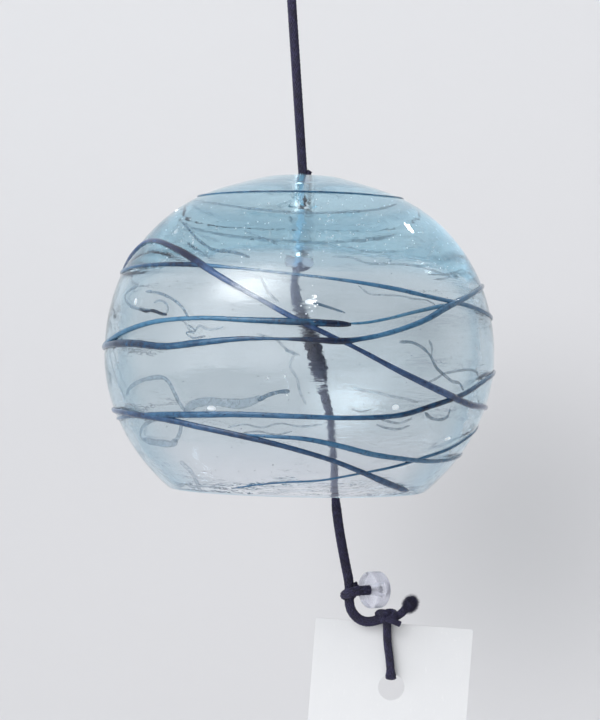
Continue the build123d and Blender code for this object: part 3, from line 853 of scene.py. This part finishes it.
crownTail = {
    "body": "crown", "node": "crown_tail", "strands": 5,
    "diameter": 0.0012, "route": [
        (0.0072, 0, -0.0745), (0.0072, 0, -0.0722), (0.00715, 0, -0.0702), (0.00765, 0, -0.0694),
    ],
}
innerCord = {
    "body": "inner_line", "node": "inner_cord",
    "diameter": 0.0020, "route": [
        (0.0053, 0, -0.0884), (0.0046, 0, -0.0925), (0.0048, 0, -0.0985), (0.0058, 0, -0.1025),
        (0.0074, 0, -0.1056),
    ],
    "swell": [(-0.1049, 1.4), (-0.0900, 0.8)],    # heights, and how thick the cord is there
}
clapperCord = {
    "body": "clapper_line", "node": "clapper_cord", "lay": "hanging",
    "diameter": 0.0021, "length": 0.0439, "route": [
        (0.0113, 0, -0.1179), (0.0133, 0, -0.1226), (0.0142, 0, -0.1327), (0.0149, 0, -0.1438),
        (0.01635, 0, -0.1532), (0.0182, 0, -0.1614),
    ],
    "swell": [(-0.1460, 1.0), (-0.1425, 0.74), (-0.1280, 0.74), (-0.1180, 1.1)],
}
lowerCord = {
    "body": "clapper", "node": "lower_cord",
    "diameter": 0.0021, "route": [
        (0.0182, 0, -0.1613), (0.0187, 0, -0.1640), (0.0185, 0, -0.1671), (0.01915, 0, -0.1694),
        (0.0208, 0, -0.1711), (0.0228, 0, -0.1717), (0.0251, 0, -0.1712), (0.0271, 0, -0.1705),
    ],
}
beadHitch = {
    "body": "clapper", "node": "bead_hitch",
    "diameter": 0.0021, "route": [
        (0.02523, 0.00124, -0.16435), (0.0227, -0.0006, -0.16435), (0.0209, -0.0016, -0.1644),
        (0.0197, -0.0019, -0.1646), (0.0183, -0.0020, -0.1650), (0.0174, -0.0002, -0.1656),
        (0.0180, 0.0018, -0.1660), (0.0195, 0.0020, -0.1656), (0.0199, 0.0018, -0.1642),
        (0.0193, 0.0019, -0.1632),
    ],
}
cardLoop = {
    "body": "card_hanger", "node": "card_loop", "lay": "hanging",
    "diameter": 0.0018, "length": 0.0330, "route": [
        (0.0273, 0, -0.1706), (0.0273, 0.00035, -0.1735), (0.0275, 0.00045, -0.1764),
        (0.02795, 0.0004, -0.1793), (0.0283, 0.00045, -0.1821), (0.0285, 0.00045, -0.1849),
        (0.0285, 0.00335, -0.1849), (0.0285, 0.00335, -0.1822), (0.0281, 0.0035, -0.1792),
        (0.0277, 0.0036, -0.1762), (0.02745, 0.00395, -0.1732), (0.0273, 0.0032, -0.1705),
        (0.0273, 0.0009, -0.1703),
    ],
}
knotTail = {
    "body": "clapper", "node": "knot_tail",
    "diameter": 0.0018, "route": [
        (0.0284, 0, -0.1707), (0.0302, -0.0002, -0.1699), (0.0317, -0.0003, -0.1681),
        (0.0332, -0.0002, -0.1669),
    ],
}
cutEnd = {                       # a short end below the card's knot
    "body": "clapper", "diameter": 0.0013, "route": [
        (0.0270, -0.0017, -0.1706), (0.0286, -0.0020, -0.1711), (0.0302, -0.0017, -0.1718),
    ],
}
braid = {
    "strands": 10,             # each way round
    "step": 0.00016,
    "sides": 5,
    "coreSides": 12,
    # shares of the cord's diameter
    "shares": {"Pitch": 5.6, "Height": 0.15, "Width": 0.25, "Weave": 0.04, "Core": 0.36},
}


def startTree(name, sockets):
    # a group with named inputs, from the geometry that it starts from to its material
    group = bpy.data.node_groups.new(name, "GeometryNodeTree")
    for name, kind in {"Geometry": "Geometry", **sockets, "Material": "Material"}.items():
        group.interface.new_socket(name=name, in_out="INPUT", socket_type="NodeSocket" + kind)
    group.interface.new_socket(name="Geometry", in_out="OUTPUT", socket_type="NodeSocketGeometry")
    tree = Tree(group)
    return tree, tree.add("NodeGroupInput")


def finishTree(tree, shape, material):
    whole = tree.shape("RealizeInstances", {"Geometry": shape})
    covered = tree.shape("SetMaterial", {"Geometry": whole, "Material": material})
    ending = tree.tree.nodes.new("NodeGroupOutput")
    tree.tree.links.new(covered.socket, ending.inputs["Geometry"])
    return tree.tree


def runTree(name, base, group, values):
    # the tree's result as a plain piece, in place of the object that it starts from
    modifier = base.modifiers.new("shape", "NODES")
    modifier.node_group = group
    for item in group.interface.items_tree:
        if item.in_out == "INPUT" and item.name in values:
            modifier[item.identifier] = values[item.name]
    bpy.context.view_layer.update()
    ready = base.evaluated_get(bpy.context.evaluated_depsgraph_get())
    mesh = bpy.data.meshes.new_from_object(ready)
    base.modifiers.remove(modifier)
    bpy.data.objects.remove(base)
    return addObject(name, mesh)


def scatterPoints(tree, start):
    sockets = {"Mesh": start["Geometry"], "Density": start["Density"], "Seed": start["Seed"]}
    return tree.shape("DistributePointsOnFaces", sockets, {"distribute_method": "RANDOM"})


def seedTree():
    tree, start = startTree("glass_seeds", {
        "Density": "Float", "Smallest": "Float", "Largest": "Float", "Deepest": "Float", "Seed": "Int",
    })
    spread = scatterPoints(tree, start)
    depth = tree.random(start["Largest"], start["Deepest"], start["Seed"])
    inward = tree.vector("SCALE", {0: spread["Normal"], "Scale": depth * -1.0})
    sunk = tree.shape("SetPosition", {"Geometry": spread, "Offset": inward})
    bead = tree.shape("MeshIcoSphere", {"Radius": 1.0, "Subdivisions": 2})
    size = tree.random(start["Smallest"], start["Largest"], start["Seed"])
    placed = tree.shape("InstanceOnPoints", {"Points": sunk, "Instance": bead, "Scale": size})
    return finishTree(tree, placed, start["Material"])


def makeSeeds(key, material, group):
    # small bubbles or dark grains spread through the wall, between two heights
    seeds = glassSeeds[key]
    columns, rows = glassSeeds["columns"], glassSeeds["rows"]
    points = []
    for row in range(rows + 1):
        share = seeds["low"] + (seeds["high"] - seeds["low"]) * row / rows
        for column in range(columns):
            points.append(onBell(360 * column / columns, share * bellHeight, 0)[0])
    surface = meshPiece("seed_surface", points, gridFaces(rows + 1, columns), material)
    for polygon in surface.data.polygons:
        outward = polygon.center - crownCentre
        if polygon.normal.x * outward.x + polygon.normal.y * outward.y < 0:
            polygon.flip()
    piece = runTree(key + "_seeds", surface, group, {
        "Density": seeds["density"], "Smallest": seeds["least"], "Largest": seeds["most"],
        "Deepest": bellGlass["sideWall"] * glassSeeds["deepest"], "Seed": seeds["seed"],
        "Material": material,
    })
    attach(piece, "bell")


# painted glints: white glowing blobs in the near wall where lamp highlights show
def makePaintedGlintSeeds(material):
    balls = []
    for x, y, halfWidth, halfHeight in glassSeeds["large"]:
        stretch = Matrix.Diagonal((halfWidth, halfHeight * glassSeeds["flatness"], halfHeight))
        balls.append((onWall(x, y, glassSeeds["inset"]), stretch))
    piece = ballsPiece("painted_glint_seeds", balls)
    piece.data.materials.append(material)
    shadeSmooth(piece.data)
    attach(piece, "bell")


def braidTree():
    tree, start = startTree("braided_cord", {
        "Step": "Float", "Strands": "Int", "Pitch": "Float", "Radius": "Float", "Weave": "Float",
        "Height": "Float", "Width": "Float", "Core": "Float", "Sides": "Int",
    })
    sockets = {"Curve": start["Geometry"], "Length": start["Step"]}
    line = tree.shape("ResampleCurve", sockets, {"mode": "LENGTH"})
    along = tree.shape("SplineParameter", output="Length")
    normal = tree.shape("InputNormal")
    beside = tree.vector("CROSS_PRODUCT", {0: tree.shape("InputTangent"), 1: normal})
    circle = tree.shape("CurvePrimitiveCircle", {"Resolution": start["Sides"], "Radius": 0.5})
    sockets = {"X": start["Width"], "Y": start["Height"], "Z": 1.0}
    scale = tree.add("ShaderNodeCombineXYZ", sockets)
    profile = tree.shape("Transform", {"Geometry": circle, "Scale": scale})
    vectorKind = {"data_type": "FLOAT_VECTOR"}
    shapes = []
    for way in (1, -1):
        sockets = {"Geometry": line, "Amount": start["Strands"]}
        strands = tree.shape("DuplicateElements", sockets, {"domain": "SPLINE"})
        share = strands["Duplicate Index"] / start["Strands"]
        turn = along / start["Pitch"] * (2 * pi * way) + share * (2 * pi)
        crossing = along / start["Pitch"] * start["Strands"] * (2 * pi)
        reach = start["Radius"] + crossing.cosine() * start["Weave"] * way
        level = tree.vector("SCALE", {0: normal, "Scale": turn.cosine()})
        upright = tree.vector("SCALE", {0: beside, "Scale": turn.sine()})
        outward = tree.vector("ADD", {0: level, 1: upright})
        sockets = {"Geometry": strands, "Name": "outward", "Value": outward}
        stored = tree.shape("StoreNamedAttribute", sockets, {**vectorKind, "domain": "POINT"})
        kept = tree.shape("InputNamedAttribute", {"Name": "outward"}, vectorKind)
        offset = tree.vector("SCALE", {0: kept, "Scale": reach})
        moved = tree.shape("SetPosition", {"Geometry": stored, "Offset": offset})
        facing = tree.shape("SetCurveNormal", {"Curve": moved, "Normal": kept}, {"mode": "FREE"})
        sockets = {"Curve": facing, "Profile Curve": profile, "Fill Caps": True}
        shapes.append(tree.shape("CurveToMesh", sockets))
    core = tree.shape("CurvePrimitiveCircle", {
        "Resolution": braid["coreSides"], "Radius": start["Core"],
    })
    sockets = {"Curve": line, "Profile Curve": core, "Fill Caps": True}
    shapes.append(tree.shape("CurveToMesh", sockets))
    joined = tree.shape("JoinGeometry", {"Geometry": shapes})
    smooth = tree.shape("SetShadeSmooth", {"Geometry": joined})
    return finishTree(tree, smooth, start["Material"])


# small bubbles in the glass, and painted glints: the emission is painted glow, faint on the small
# bubbles and standing in for lamp highlights on the large blobs
bubblesWithPaintedGlow = makeSeedMaterial("seed_bubbles", {
    "Specular IOR Level": 0.6, "Emission Color": (0.95, 0.97, 1.0, 1.0), "Emission Strength": 0.45,
}, (0.93, 0.94, 0.96), (0.80, 0.84, 0.88), 0.2)
darkSeeds = makeSeedMaterial(
    "dark_grains", {"Specular IOR Level": 0.4}, (0.02, 0.03, 0.06), (0.08, 0.12, 0.18), 0.3
)
seedGroup = seedTree()
makeSeeds("fine", bubblesWithPaintedGlow, seedGroup)
makeSeeds("dark", darkSeeds, seedGroup)
makePaintedGlintSeeds(bubblesWithPaintedGlow)
braidGroup = braidTree()


def routeCurve(name, points, smooth=True):
    # an open line through space; a smooth one is a spline with the points as its controls
    curve = bpy.data.curves.new(name, "CURVE")
    curve.dimensions = "3D"
    curve.resolution_u = 24
    curve.twist_mode = "MINIMUM"
    spline = curve.splines.new("NURBS" if smooth else "POLY")
    spline.points.add(len(points) - 1)
    for point, place in zip(spline.points, points):
        point.co = (*place, 1.0)
    if smooth:
        spline.order_u = 3
        spline.use_endpoint_u = True
    return addObject(name, curve)


def routePoints(line):
    ready = line.evaluated_get(bpy.context.evaluated_depsgraph_get())
    mesh = bpy.data.meshes.new_from_object(ready)
    points = [vertex.co.copy() for vertex in mesh.vertices]
    bpy.data.meshes.remove(mesh)
    return points


def braidedPiece(name, line, diameter, material, strands=braid["strands"]):
    shares = {key: diameter * share for key, share in braid["shares"].items()}
    return runTree(name, line, braidGroup, {
        "Step": braid["step"], "Strands": strands, "Sides": braid["sides"], "Material": material,
        "Radius": (diameter - shares["Height"]) / 2 - shares["Weave"], **shares,
    })


cardPress = {"from": -0.1822, "edge": -0.1841, "middle": 0.0285, "spread": 0.3, "height": 0.5}


def pressLoop(piece):
    # the loop is drawn flat where it turns through the card's hole
    start, edge, middle = cardPress["from"], cardPress["edge"], cardPress["middle"]
    for vertex in piece.data.vertices:
        share = min(1, max(0, (start - vertex.co.z) / (start - edge)))
        share = share * share * (3 - 2 * share)
        vertex.co.x = middle + (vertex.co.x - middle) * (1 + cardPress["spread"] * share)
        if vertex.co.z < edge:
            vertex.co.z = edge + (vertex.co.z - edge) * cardPress["height"]


def swellCord(cord):
    # the cord is drawn thinner or thicker at some heights
    levels, shares = zip(*cord["swell"])
    heights = [point.z for point in reversed(cord["path"])]
    places = [point.x for point in reversed(cord["path"])]
    for vertex in cord["piece"].data.vertices:
        middle = float(np.interp(vertex.co.z, heights, places))
        grow = float(np.interp(vertex.co.z, levels, shares))
        vertex.co.x = middle + (vertex.co.x - middle) * grow
        vertex.co.y *= grow


def makeCord(name, cord, material):
    route = cord["route"]
    curved = len(route) > 2
    line = routeCurve(name + "_line", route, curved)
    bpy.context.view_layer.update()
    cord["path"] = routePoints(line) if curved else [Vector(place) for place in route]
    strands = cord.get("strands", braid["strands"])
    cord["piece"] = braidedPiece(name, line, cord["diameter"], material, strands)
    if "swell" in cord:
        swellCord(cord)
    attach(cord["piece"], cord["body"], cord.get("node"))


cordFinish = {
    "dark": (0.010, 0.009, 0.030),
    "middle": (0.021, 0.018, 0.060),
    "fibre": (0.085, 0.080, 0.180),
    "dusty": (0.27, 0.31, 0.44),
    "dustyFibre": (0.42, 0.46, 0.60),
    # painted haze: heights in millimetres, and how pale the cord is painted there for the glass's
    # reflections in front of it
    "dustRows": [(-143.6, 0.0), (-140.0, 0.62), (-126.0, 0.55), (-116.0, 0.5), (-111.0, 0.12),
                 (-105.5, 0.03), (-102.5, 0.55), (-96.0, 0.85), (-89.0, 1.0)],
    "crownColour": (0.36, 0.72, 0.90),
}


def makeCordMaterial(name, dusty=False):
    finish = Finish(name, {"Sheen Weight": 0.12, "Sheen Roughness": 0.4})
    fibres = finish.noise(4.5, 3.0, (1, 1, 0.35))
    cloud = finish.noise(0.8)
    base = finish.blendColours(
        finish.smoothStep(cloud, 0.35, 0.65), cordFinish["dark"], cordFinish["middle"]
    )
    navy = finish.blendColours(finish.smoothStep(fibres, 0.55, 0.78), base, cordFinish["fibre"])
    if dusty:
        # painted haze: inside the bell the cord is painted paler at some heights, for the reflections of
        # the glass in front of it, and dark again below the mouth
        height = finish.part(finish.millimetres(), "Z")
        low, high = cordFinish["dustRows"][0][0], cordFinish["dustRows"][-1][0]
        share = (height - low) / (high - low)
        stops = [((z - low) / (high - low), (hazeShare,) * 3) for z, hazeShare in cordFinish["dustRows"]]
        hazeShare = finish.colourRamp(share.clamped(), stops)
        pale = finish.blendColours(
            finish.smoothStep(fibres, 0.3, 0.75), cordFinish["dusty"], cordFinish["dustyFibre"]
        )
        navy = finish.blendColours(hazeShare, navy, pale)
    finish.colour(navy)
    finish.roughness(0.5 + fibres * 0.35)
    finish.bump(fibres, 0.5, 0.00006)
    return finish.material


def makeCrownCordMaterial():
    # the stretch in the bore, painted with the blue of the thick glass around it and given a painted
    # glow, for how it shows through the glass
    finish = Finish("blue_lit_braid", {
        "Roughness": 0.6, "Emission Color": (0.58, 0.78, 0.92, 1.0), "Emission Strength": 0.36,
    })
    fibres = finish.noise(4.5, 3.0, (1, 1, 0.35))
    blue = cordFinish["crownColour"]
    deep = tuple(value * 0.6 for value in blue)
    finish.colour(finish.blendColours(finish.smoothStep(fibres, 0.35, 0.7), deep, blue))
    finish.roughness(0.5 + fibres * 0.3)
    return finish.material


cordMaterial = makeCordMaterial("navy_braid")
insidePaintedHazeMaterial = makeCordMaterial("navy_braid_dusty", True)
for name, cord, material in (
    ("inner_braid", innerCord, insidePaintedHazeMaterial),
    ("crown_braid", crownCord, makeCrownCordMaterial()),
    ("lower_braid", lowerCord, cordMaterial),
    ("hitch_braid", beadHitch, cordMaterial),
    ("tail_braid", knotTail, cordMaterial),
    ("crown_tail_braid", crownTail, cordMaterial),
    ("hanging_braid", hangingLoop, cordMaterial),
    ("upper_braid", upperCord, cordMaterial),
    ("clapper_braid", clapperCord, insidePaintedHazeMaterial),
    ("card_braid", cardLoop, cordMaterial),
):
    makeCord(name, cord, material)
pressLoop(cardLoop["piece"])


# Knots: the same cord drawn tight, along a looping line
def turned(x, y, z):
    # turns about the three axes, in half turns
    turn = Matrix.Rotation(x * pi, 3, "X") @ Matrix.Rotation(y * pi, 3, "Y")
    return turn @ Matrix.Rotation(z * pi, 3, "Z")


knots = {
    "hanging": {
        "centre": (0.002267, 0, -0.026202), "cord": 0.00165, "reach": (0.00175, 0.0017, 0.0018),
        "body": "loop_knot", "node": "hanging_knot", "turn": turned(0.3, 0.4, 0.2),
        "material": cordMaterial,
    },
    "stopper": {
        "centre": (0.0061, 0, -0.0877), "cord": 0.0013, "reach": (0.0013, 0.0013, 0.0012),
        "body": "crown", "node": "stopper_knot", "turn": turned(0.9, 0.2, 0.4),
        "material": insidePaintedHazeMaterial,
    },
    "card": {                    # depth and height change places
        "centre": (0.02715, 0, -0.1702), "cord": 0.0017, "reach": (0.0020, 0.0011, 0.0011),
        "body": "clapper", "node": "card_knot", "turn": Matrix(((1, 0, 0), (0, 0, 1), (0, 1, 0))),
        "material": cordMaterial,
    },
}
overhand = {"steps": 110, "closed": 0.985, "depth": 0.75}
innerKnot = {
    "top": (0.0073, 0, -0.1049), "axis": (0.335, 0, -0.942), "length": 0.0134,
    "cord": 0.0016, "radius": 0.00125, "turns": 7.5, "stepsPerTurn": 24,
    "endRadius": 0.35,           # share of the radius
    "endStretch": 7,             # the part of the knot over which it narrows, as one in so many
}


def overhandPoints(reach):
    # a trefoil line, which is an overhand knot with its ends joined
    points = []
    for step in range(overhand["steps"] + 1):
        turn = 2 * pi * step / overhand["steps"] * overhand["closed"]
        points.append(Vector((
            (sin(turn) + 2 * sin(2 * turn)) / 3 * reach[0],
            (cos(turn) - 2 * cos(2 * turn)) / 3 * reach[1],
            -sin(3 * turn) * reach[2] * overhand["depth"],
        )))
    return points


def knotPiece(name, points, knot, material):
    line = routeCurve(name + "_knot_line", points, False)
    return braidedPiece(name + "_knot_braid", line, knot["cord"], material)


def makeKnot(name):
    knot = knots[name]
    points = [Vector(knot["centre"]) + knot["turn"] @ point for point in overhandPoints(knot["reach"])]
    piece = knotPiece(name, points, knot, knot["material"])
    attach(piece, knot["body"], knot["node"])


def makeInnerKnot():
    knot = innerKnot
    axis = Vector(knot["axis"]).normalized()
    across = Vector((0, 1, 0))
    beside = axis.cross(across)
    steps = int(knot["turns"] * knot["stepsPerTurn"])
    margin = knot["cord"] / 2
    points = []
    for step in range(steps + 1):
        share = step / steps
        turn = 2 * pi * knot["turns"] * share
        ease = min(1, share * knot["endStretch"], (1 - share) * knot["endStretch"])
        radius = knot["radius"] * (knot["endRadius"] + (1 - knot["endRadius"]) * ease)
        travel = margin + (knot["length"] - 2 * margin) * share
        spoke = (across * cos(turn) + beside * sin(turn)) * radius
        points.append(Vector(knot["top"]) + axis * travel + spoke)
    piece = knotPiece("inner", points, knot, insidePaintedHazeMaterial)
    attach(piece, "inner_line", "inner_knot")


for name in knots:
    makeKnot(name)
makeInnerKnot()
makeCord("cut_end_braid", cutEnd, cordMaterial)

# The frayed tip of the tail
fray = {
    "centre": (0.0325, -0.0002, -0.1674),
    "toward": (0.50, 0.0, 0.86),
    "radius": 0.00125,
    "stretch": 1.35,
    "density": 8.0e7,           # fibres a square metre
    "fibreLength": 0.00085,
    "fibreWidth": 0.000045,
    "leastLength": 0.5,         # shares of the fibre's length
    "mostLength": 1.25,
    "lean": 0.75,               # radians
    "spin": 6.28,
    "seed": 7,
}


def frayTree():
    tree, start = startTree("frayed_end", {
        "Density": "Float", "Length": "Float", "Width": "Float", "Seed": "Int",
    })
    spread = scatterPoints(tree, start)
    fibre = tree.shape("MeshCone", {
        "Vertices": 4, "Radius Top": 0.15, "Radius Bottom": 0.5, "Depth": 1.0,
    })
    lean = fray["lean"]
    sockets = {0: (-lean, -lean, 0.0), 1: (lean, lean, fray["spin"]), "Seed": start["Seed"]}
    bent = tree.add("FunctionNodeRandomValue", sockets, {"data_type": "FLOAT_VECTOR"})
    sockets = {"Rotation": spread["Rotation"], "Rotate By": bent}
    turn = tree.add("FunctionNodeRotateRotation", sockets, {"rotation_space": "LOCAL"})
    longer = tree.random(fray["leastLength"], fray["mostLength"], start["Seed"])
    size = tree.add("ShaderNodeCombineXYZ", {
        "X": start["Width"], "Y": start["Width"], "Z": start["Length"] * longer,
    })
    placed = tree.shape("InstanceOnPoints", {
        "Points": spread, "Instance": fibre, "Rotation": turn, "Scale": size,
    })
    whole = tree.shape("JoinGeometry", {"Geometry": [placed, start["Geometry"]]})
    return finishTree(tree, whole, start["Material"])


def makeFray():
    stretch = Matrix.Scale(fray["stretch"], 3, Vector(fray["toward"]).normalized())
    ball = ballsPiece("fray_ball", [(Vector(fray["centre"]), stretch * fray["radius"])])
    piece = runTree("frayed_tip", ball, frayTree(), {
        "Density": fray["density"], "Length": fray["fibreLength"], "Width": fray["fibreWidth"],
        "Seed": fray["seed"], "Material": cordMaterial,
    })
    attach(piece, "clapper")


makeFray()

# Beads, turned from clear acrylic
stopperBead = {
    "body": "crown", "node": "stopper_bead", "centre": (0.0055, 0, 0), "bore": 0.0011,
    "outer": 0.00325, "low": -0.0873, "high": -0.0828, "axis": (0, 0, 1), "across": (1, 0, 0),
}
ringTurn = radians(215.0)
ringBead = {
    "body": "clapper", "node": "clapper_bead", "centre": (0.02425, 0.00055, -0.16435),
    "bore": 0.0013, "outer": 0.0042, "low": -0.001875, "high": 0.001875,
    "axis": (cos(ringTurn), sin(ringTurn), 0), "across": (0, 0, 1),
}
beadShape = {"round": 0.0009, "boreRound": 0.0003, "steps": 8, "columns": 96}


def beadOutline(bead):
    small, large = beadShape["boreRound"], beadShape["round"]
    corners = [
        (bead["bore"], bead["low"], small), (bead["outer"], bead["low"], large),
        (bead["outer"], bead["high"], large), (bead["bore"], bead["high"], small),
    ]
    outline = []
    for index, (radius, height, reach) in enumerate(corners):
        before, after = corners[index - 1][:2], corners[(index + 1) % 4][:2]
        outline += roundedCorner(before, (radius, height), after, reach, beadShape["steps"])
    return outline


def makeBead(name, bead, material):
    outline = beadOutline(bead)
    columns = beadShape["columns"]
    axis, across, centre = (Vector(bead[key]) for key in ("axis", "across", "centre"))
    beside = axis.cross(across)
    points = []
    for radius, height in outline:
        for column in range(columns):
            turn = 2 * pi * column / columns
            spoke = across * cos(turn) + beside * sin(turn)
            points.append(centre + axis * height + spoke * radius)
    piece = meshPiece(name, points, gridFaces(len(outline), columns, True), material)
    attach(piece, bead["body"], bead["node"])


def makeBeadMaterial(name, clear, rough):
    finish = Finish(name, {"IOR": 1.22, "Transmission Weight": clear})
    cloud = finish.noise(0.5, 3.0)
    scratches = finish.noise(0.8, 2.0, (1, 1, 6))
    finish.colour(finish.blendColours(cloud, (0.88, 0.89, 0.95), (0.80, 0.81, 0.90)))
    finish.roughness(rough + scratches * 0.16)
    finish.bump(scratches, 0.15, 0.0001)
    return finish.material


makeBead("stopper_bead_clear", stopperBead, makeBeadMaterial("dull_acrylic", 0.96, 0.22))
makeBead("ring_bead_clear", ringBead, makeBeadMaterial("milky_acrylic", 0.74, 0.10))

# Paper card, which keeps its own sheet and takes a paper finish
paperFinish = {
    "colour": (0.725, 0.73, 0.735), "shade": (0.70, 0.707, 0.715), "fibre": (0.76, 0.765, 0.77),
}


def makePaper():
    finish = Finish("laid_paper", {"Roughness": 0.9, "Specular IOR Level": 0.25})
    cloud = finish.noise(0.16, 3.0)
    fibres = finish.noise(2.2, 4.0, (1, 1, 0.3), 0.8)
    grain = finish.noise(6.0)
    base = finish.blendColours(cloud, paperFinish["colour"], paperFinish["shade"])
    finish.colour(finish.blendColours(finish.smoothStep(fibres, 0.6, 0.8), base, paperFinish["fibre"]))
    finish.roughness(0.82 + grain * 0.15)
    finish.bump(grain * 0.6 + fibres * 0.4, 0.35, 0.00008)
    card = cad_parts["paper_card"]
    card.data.materials.clear()
    card.data.materials.append(finish.material)


makePaper()

# Backdrop and light
stageSizes = {
    "floorZ": -0.62,
    "wallY": 1.45,
    "bend": 0.45,
    "bendSteps": 24,
    "halfWidth": 2.6,
    "front": -2.2,
    "top": 2.2,
    "grey": (0.735, 0.74, 0.75),
    "greyRight": (0.74, 0.74, 0.75),
    "rightRange": (-0.3, 0.6),
    "greyLow": (0.69, 0.69, 0.70),
    "lowRange": (0.25, -0.45),
    "shadow": (0.54, 0.545, 0.555),
    "shadowCentre": (0.205, -0.255),
    "shadowReach": 0.22,
}


def makeBackdrop():
    sizes = stageSizes
    outline = [(sizes["front"], sizes["floorZ"])]
    for step in range(sizes["bendSteps"] + 1):
        turn = pi / 2 * step / sizes["bendSteps"]
        outline.append((
            sizes["wallY"] - sizes["bend"] * (1 - sin(turn)),
            sizes["floorZ"] + sizes["bend"] * (1 - cos(turn)),
        ))
    outline.append((sizes["wallY"], sizes["top"]))
    points = []
    for depth, height in outline:
        points += [(-sizes["halfWidth"], depth, height), (sizes["halfWidth"], depth, height)]
    faces = [(2 * i, 2 * i + 1, 2 * i + 3, 2 * i + 2) for i in range(len(outline) - 1)]
    finish = Finish("pale_paper_backdrop", {"Roughness": 0.9, "Specular IOR Level": 0.1})
    place = finish.add("ShaderNodeTexCoord", output="Object")
    across = finish.part(place, "X")
    height = finish.part(place, "Z")
    centreX, centreZ = sizes["shadowCentre"]
    away = (((across - centreX) ** 2.0 + (height - centreZ) ** 2.0) ** 0.5) / sizes["shadowReach"]
    # painted light and shade: the backdrop is painted a touch lighter to the right and darker towards
    # the bottom, as the light falls across it
    right = finish.smoothStep(across - height, *sizes["rightRange"])
    grey = finish.blendColours(right, sizes["grey"], sizes["greyRight"])
    low = finish.smoothStep(height, *sizes["lowRange"])
    grey = finish.blendColours(low, grey, sizes["greyLow"])
    shadow = finish.smoothStep(away, 1.0, 0.0)
    finish.colour(finish.blendColours(shadow, grey, sizes["shadow"]))
    meshPiece("backdrop", points, faces, finish.material)


lights = {
    "window_light": {
        "toward": (-0.454, -0.603, 0.656), "distance": 1.2, "width": 1.3, "height": 0.85,
        "power": 25.0, "turn": 20.0, "soft": 0.45,
    },
    "front_lamp": {
        "toward": (0.115, -0.85, 0.52), "distance": 1.5, "width": 0.05, "height": 0.045,
        "power": 0.6, "turn": 0.0, "soft": 0.02,
    },
    "side_lamp": {
        "toward": (0.535, 0.478, 0.697), "distance": 1.2, "width": 0.075, "height": 0.05,
        "power": 0.9, "turn": 0.0, "soft": 0.02,
    },
}
lightAim = Vector((bellGlass["axisX"], 0, -0.11))


def makeLight(name):
    light = lights[name]
    lamp = bpy.data.lights.new(name, "AREA")
    lamp.shape = "RECTANGLE"
    lamp.size = light["width"]
    lamp.size_y = light["height"]
    lamp.energy = light["power"]
    lamp.use_nodes = True
    tree = Tree(lamp.node_tree)
    emission = findNode(lamp.node_tree, "EMISSION")
    place = tree.add("ShaderNodeNewGeometry", output="Parametric")
    soft = light["soft"]
    fades = []
    for axis in ("X", "Y"):
        share = tree.part(place, axis)
        fades.append(tree.smoothStep(share, 0.0, soft) * tree.smoothStep(share, 1.0, 1.0 - soft))
    tree.feed(emission.inputs["Strength"], fades[0] * fades[1])
    place = lightAim + Vector(light["toward"]).normalized() * light["distance"]
    facing = (lightAim - place).to_track_quat("-Z", "Y").to_matrix().to_4x4()
    turn = Matrix.Rotation(radians(light["turn"]), 4, "Z")
    addObject(name, lamp).matrix_world = Matrix.Translation(place) @ facing @ turn


roomLight = {
    "bright": (0.875, 0.88, 0.905),
    "dim": (0.16, 0.165, 0.17),
    "dimToward": (0.64, -0.77, -0.02),
    "dimRange": (0.35, 0.8),
    "strength": 0.99,
    "lift": (2.5, 2.52, 2.58),
    "liftToward": (-0.62, -0.78, 0.0),
    "liftRange": (0.6, 0.97),
}


def makeWorld():
    world = bpy.data.worlds.new("pale_room")
    world.use_nodes = True
    tree = Tree(world.node_tree)
    background = findNode(world.node_tree, "BACKGROUND")
    direction = tree.add("ShaderNodeTexCoord", output="Generated")
    facing = tree.vector("DOT_PRODUCT", {0: direction, 1: roomLight["dimToward"]}, "Value")
    dim = tree.smoothStep(facing, *roomLight["dimRange"])
    facing = tree.vector("DOT_PRODUCT", {0: direction, 1: roomLight["liftToward"]}, "Value")
    lift = tree.smoothStep(facing, *roomLight["liftRange"])
    room = tree.blendColours(dim, roomLight["bright"], roomLight["dim"])
    tree.feed(background.inputs["Color"], tree.blendColours(lift, room, roomLight["lift"]))
    background.inputs["Strength"].default_value = roomLight["strength"]
    bpy.context.scene.world = world


print("stage")
makeBackdrop()
makeWorld()
for name in lights:
    makeLight(name)
makeCamera()
bpy.context.scene.view_settings.view_transform = "Standard"
glassBounces = 40                    # light turns many times in the thick crown
cycles = bpy.context.scene.cycles
cycles.max_bounces = glassBounces
cycles.transmission_bounces = glassBounces
cycles.glossy_bounces = glassBounces
cycles.transparent_max_bounces = 24
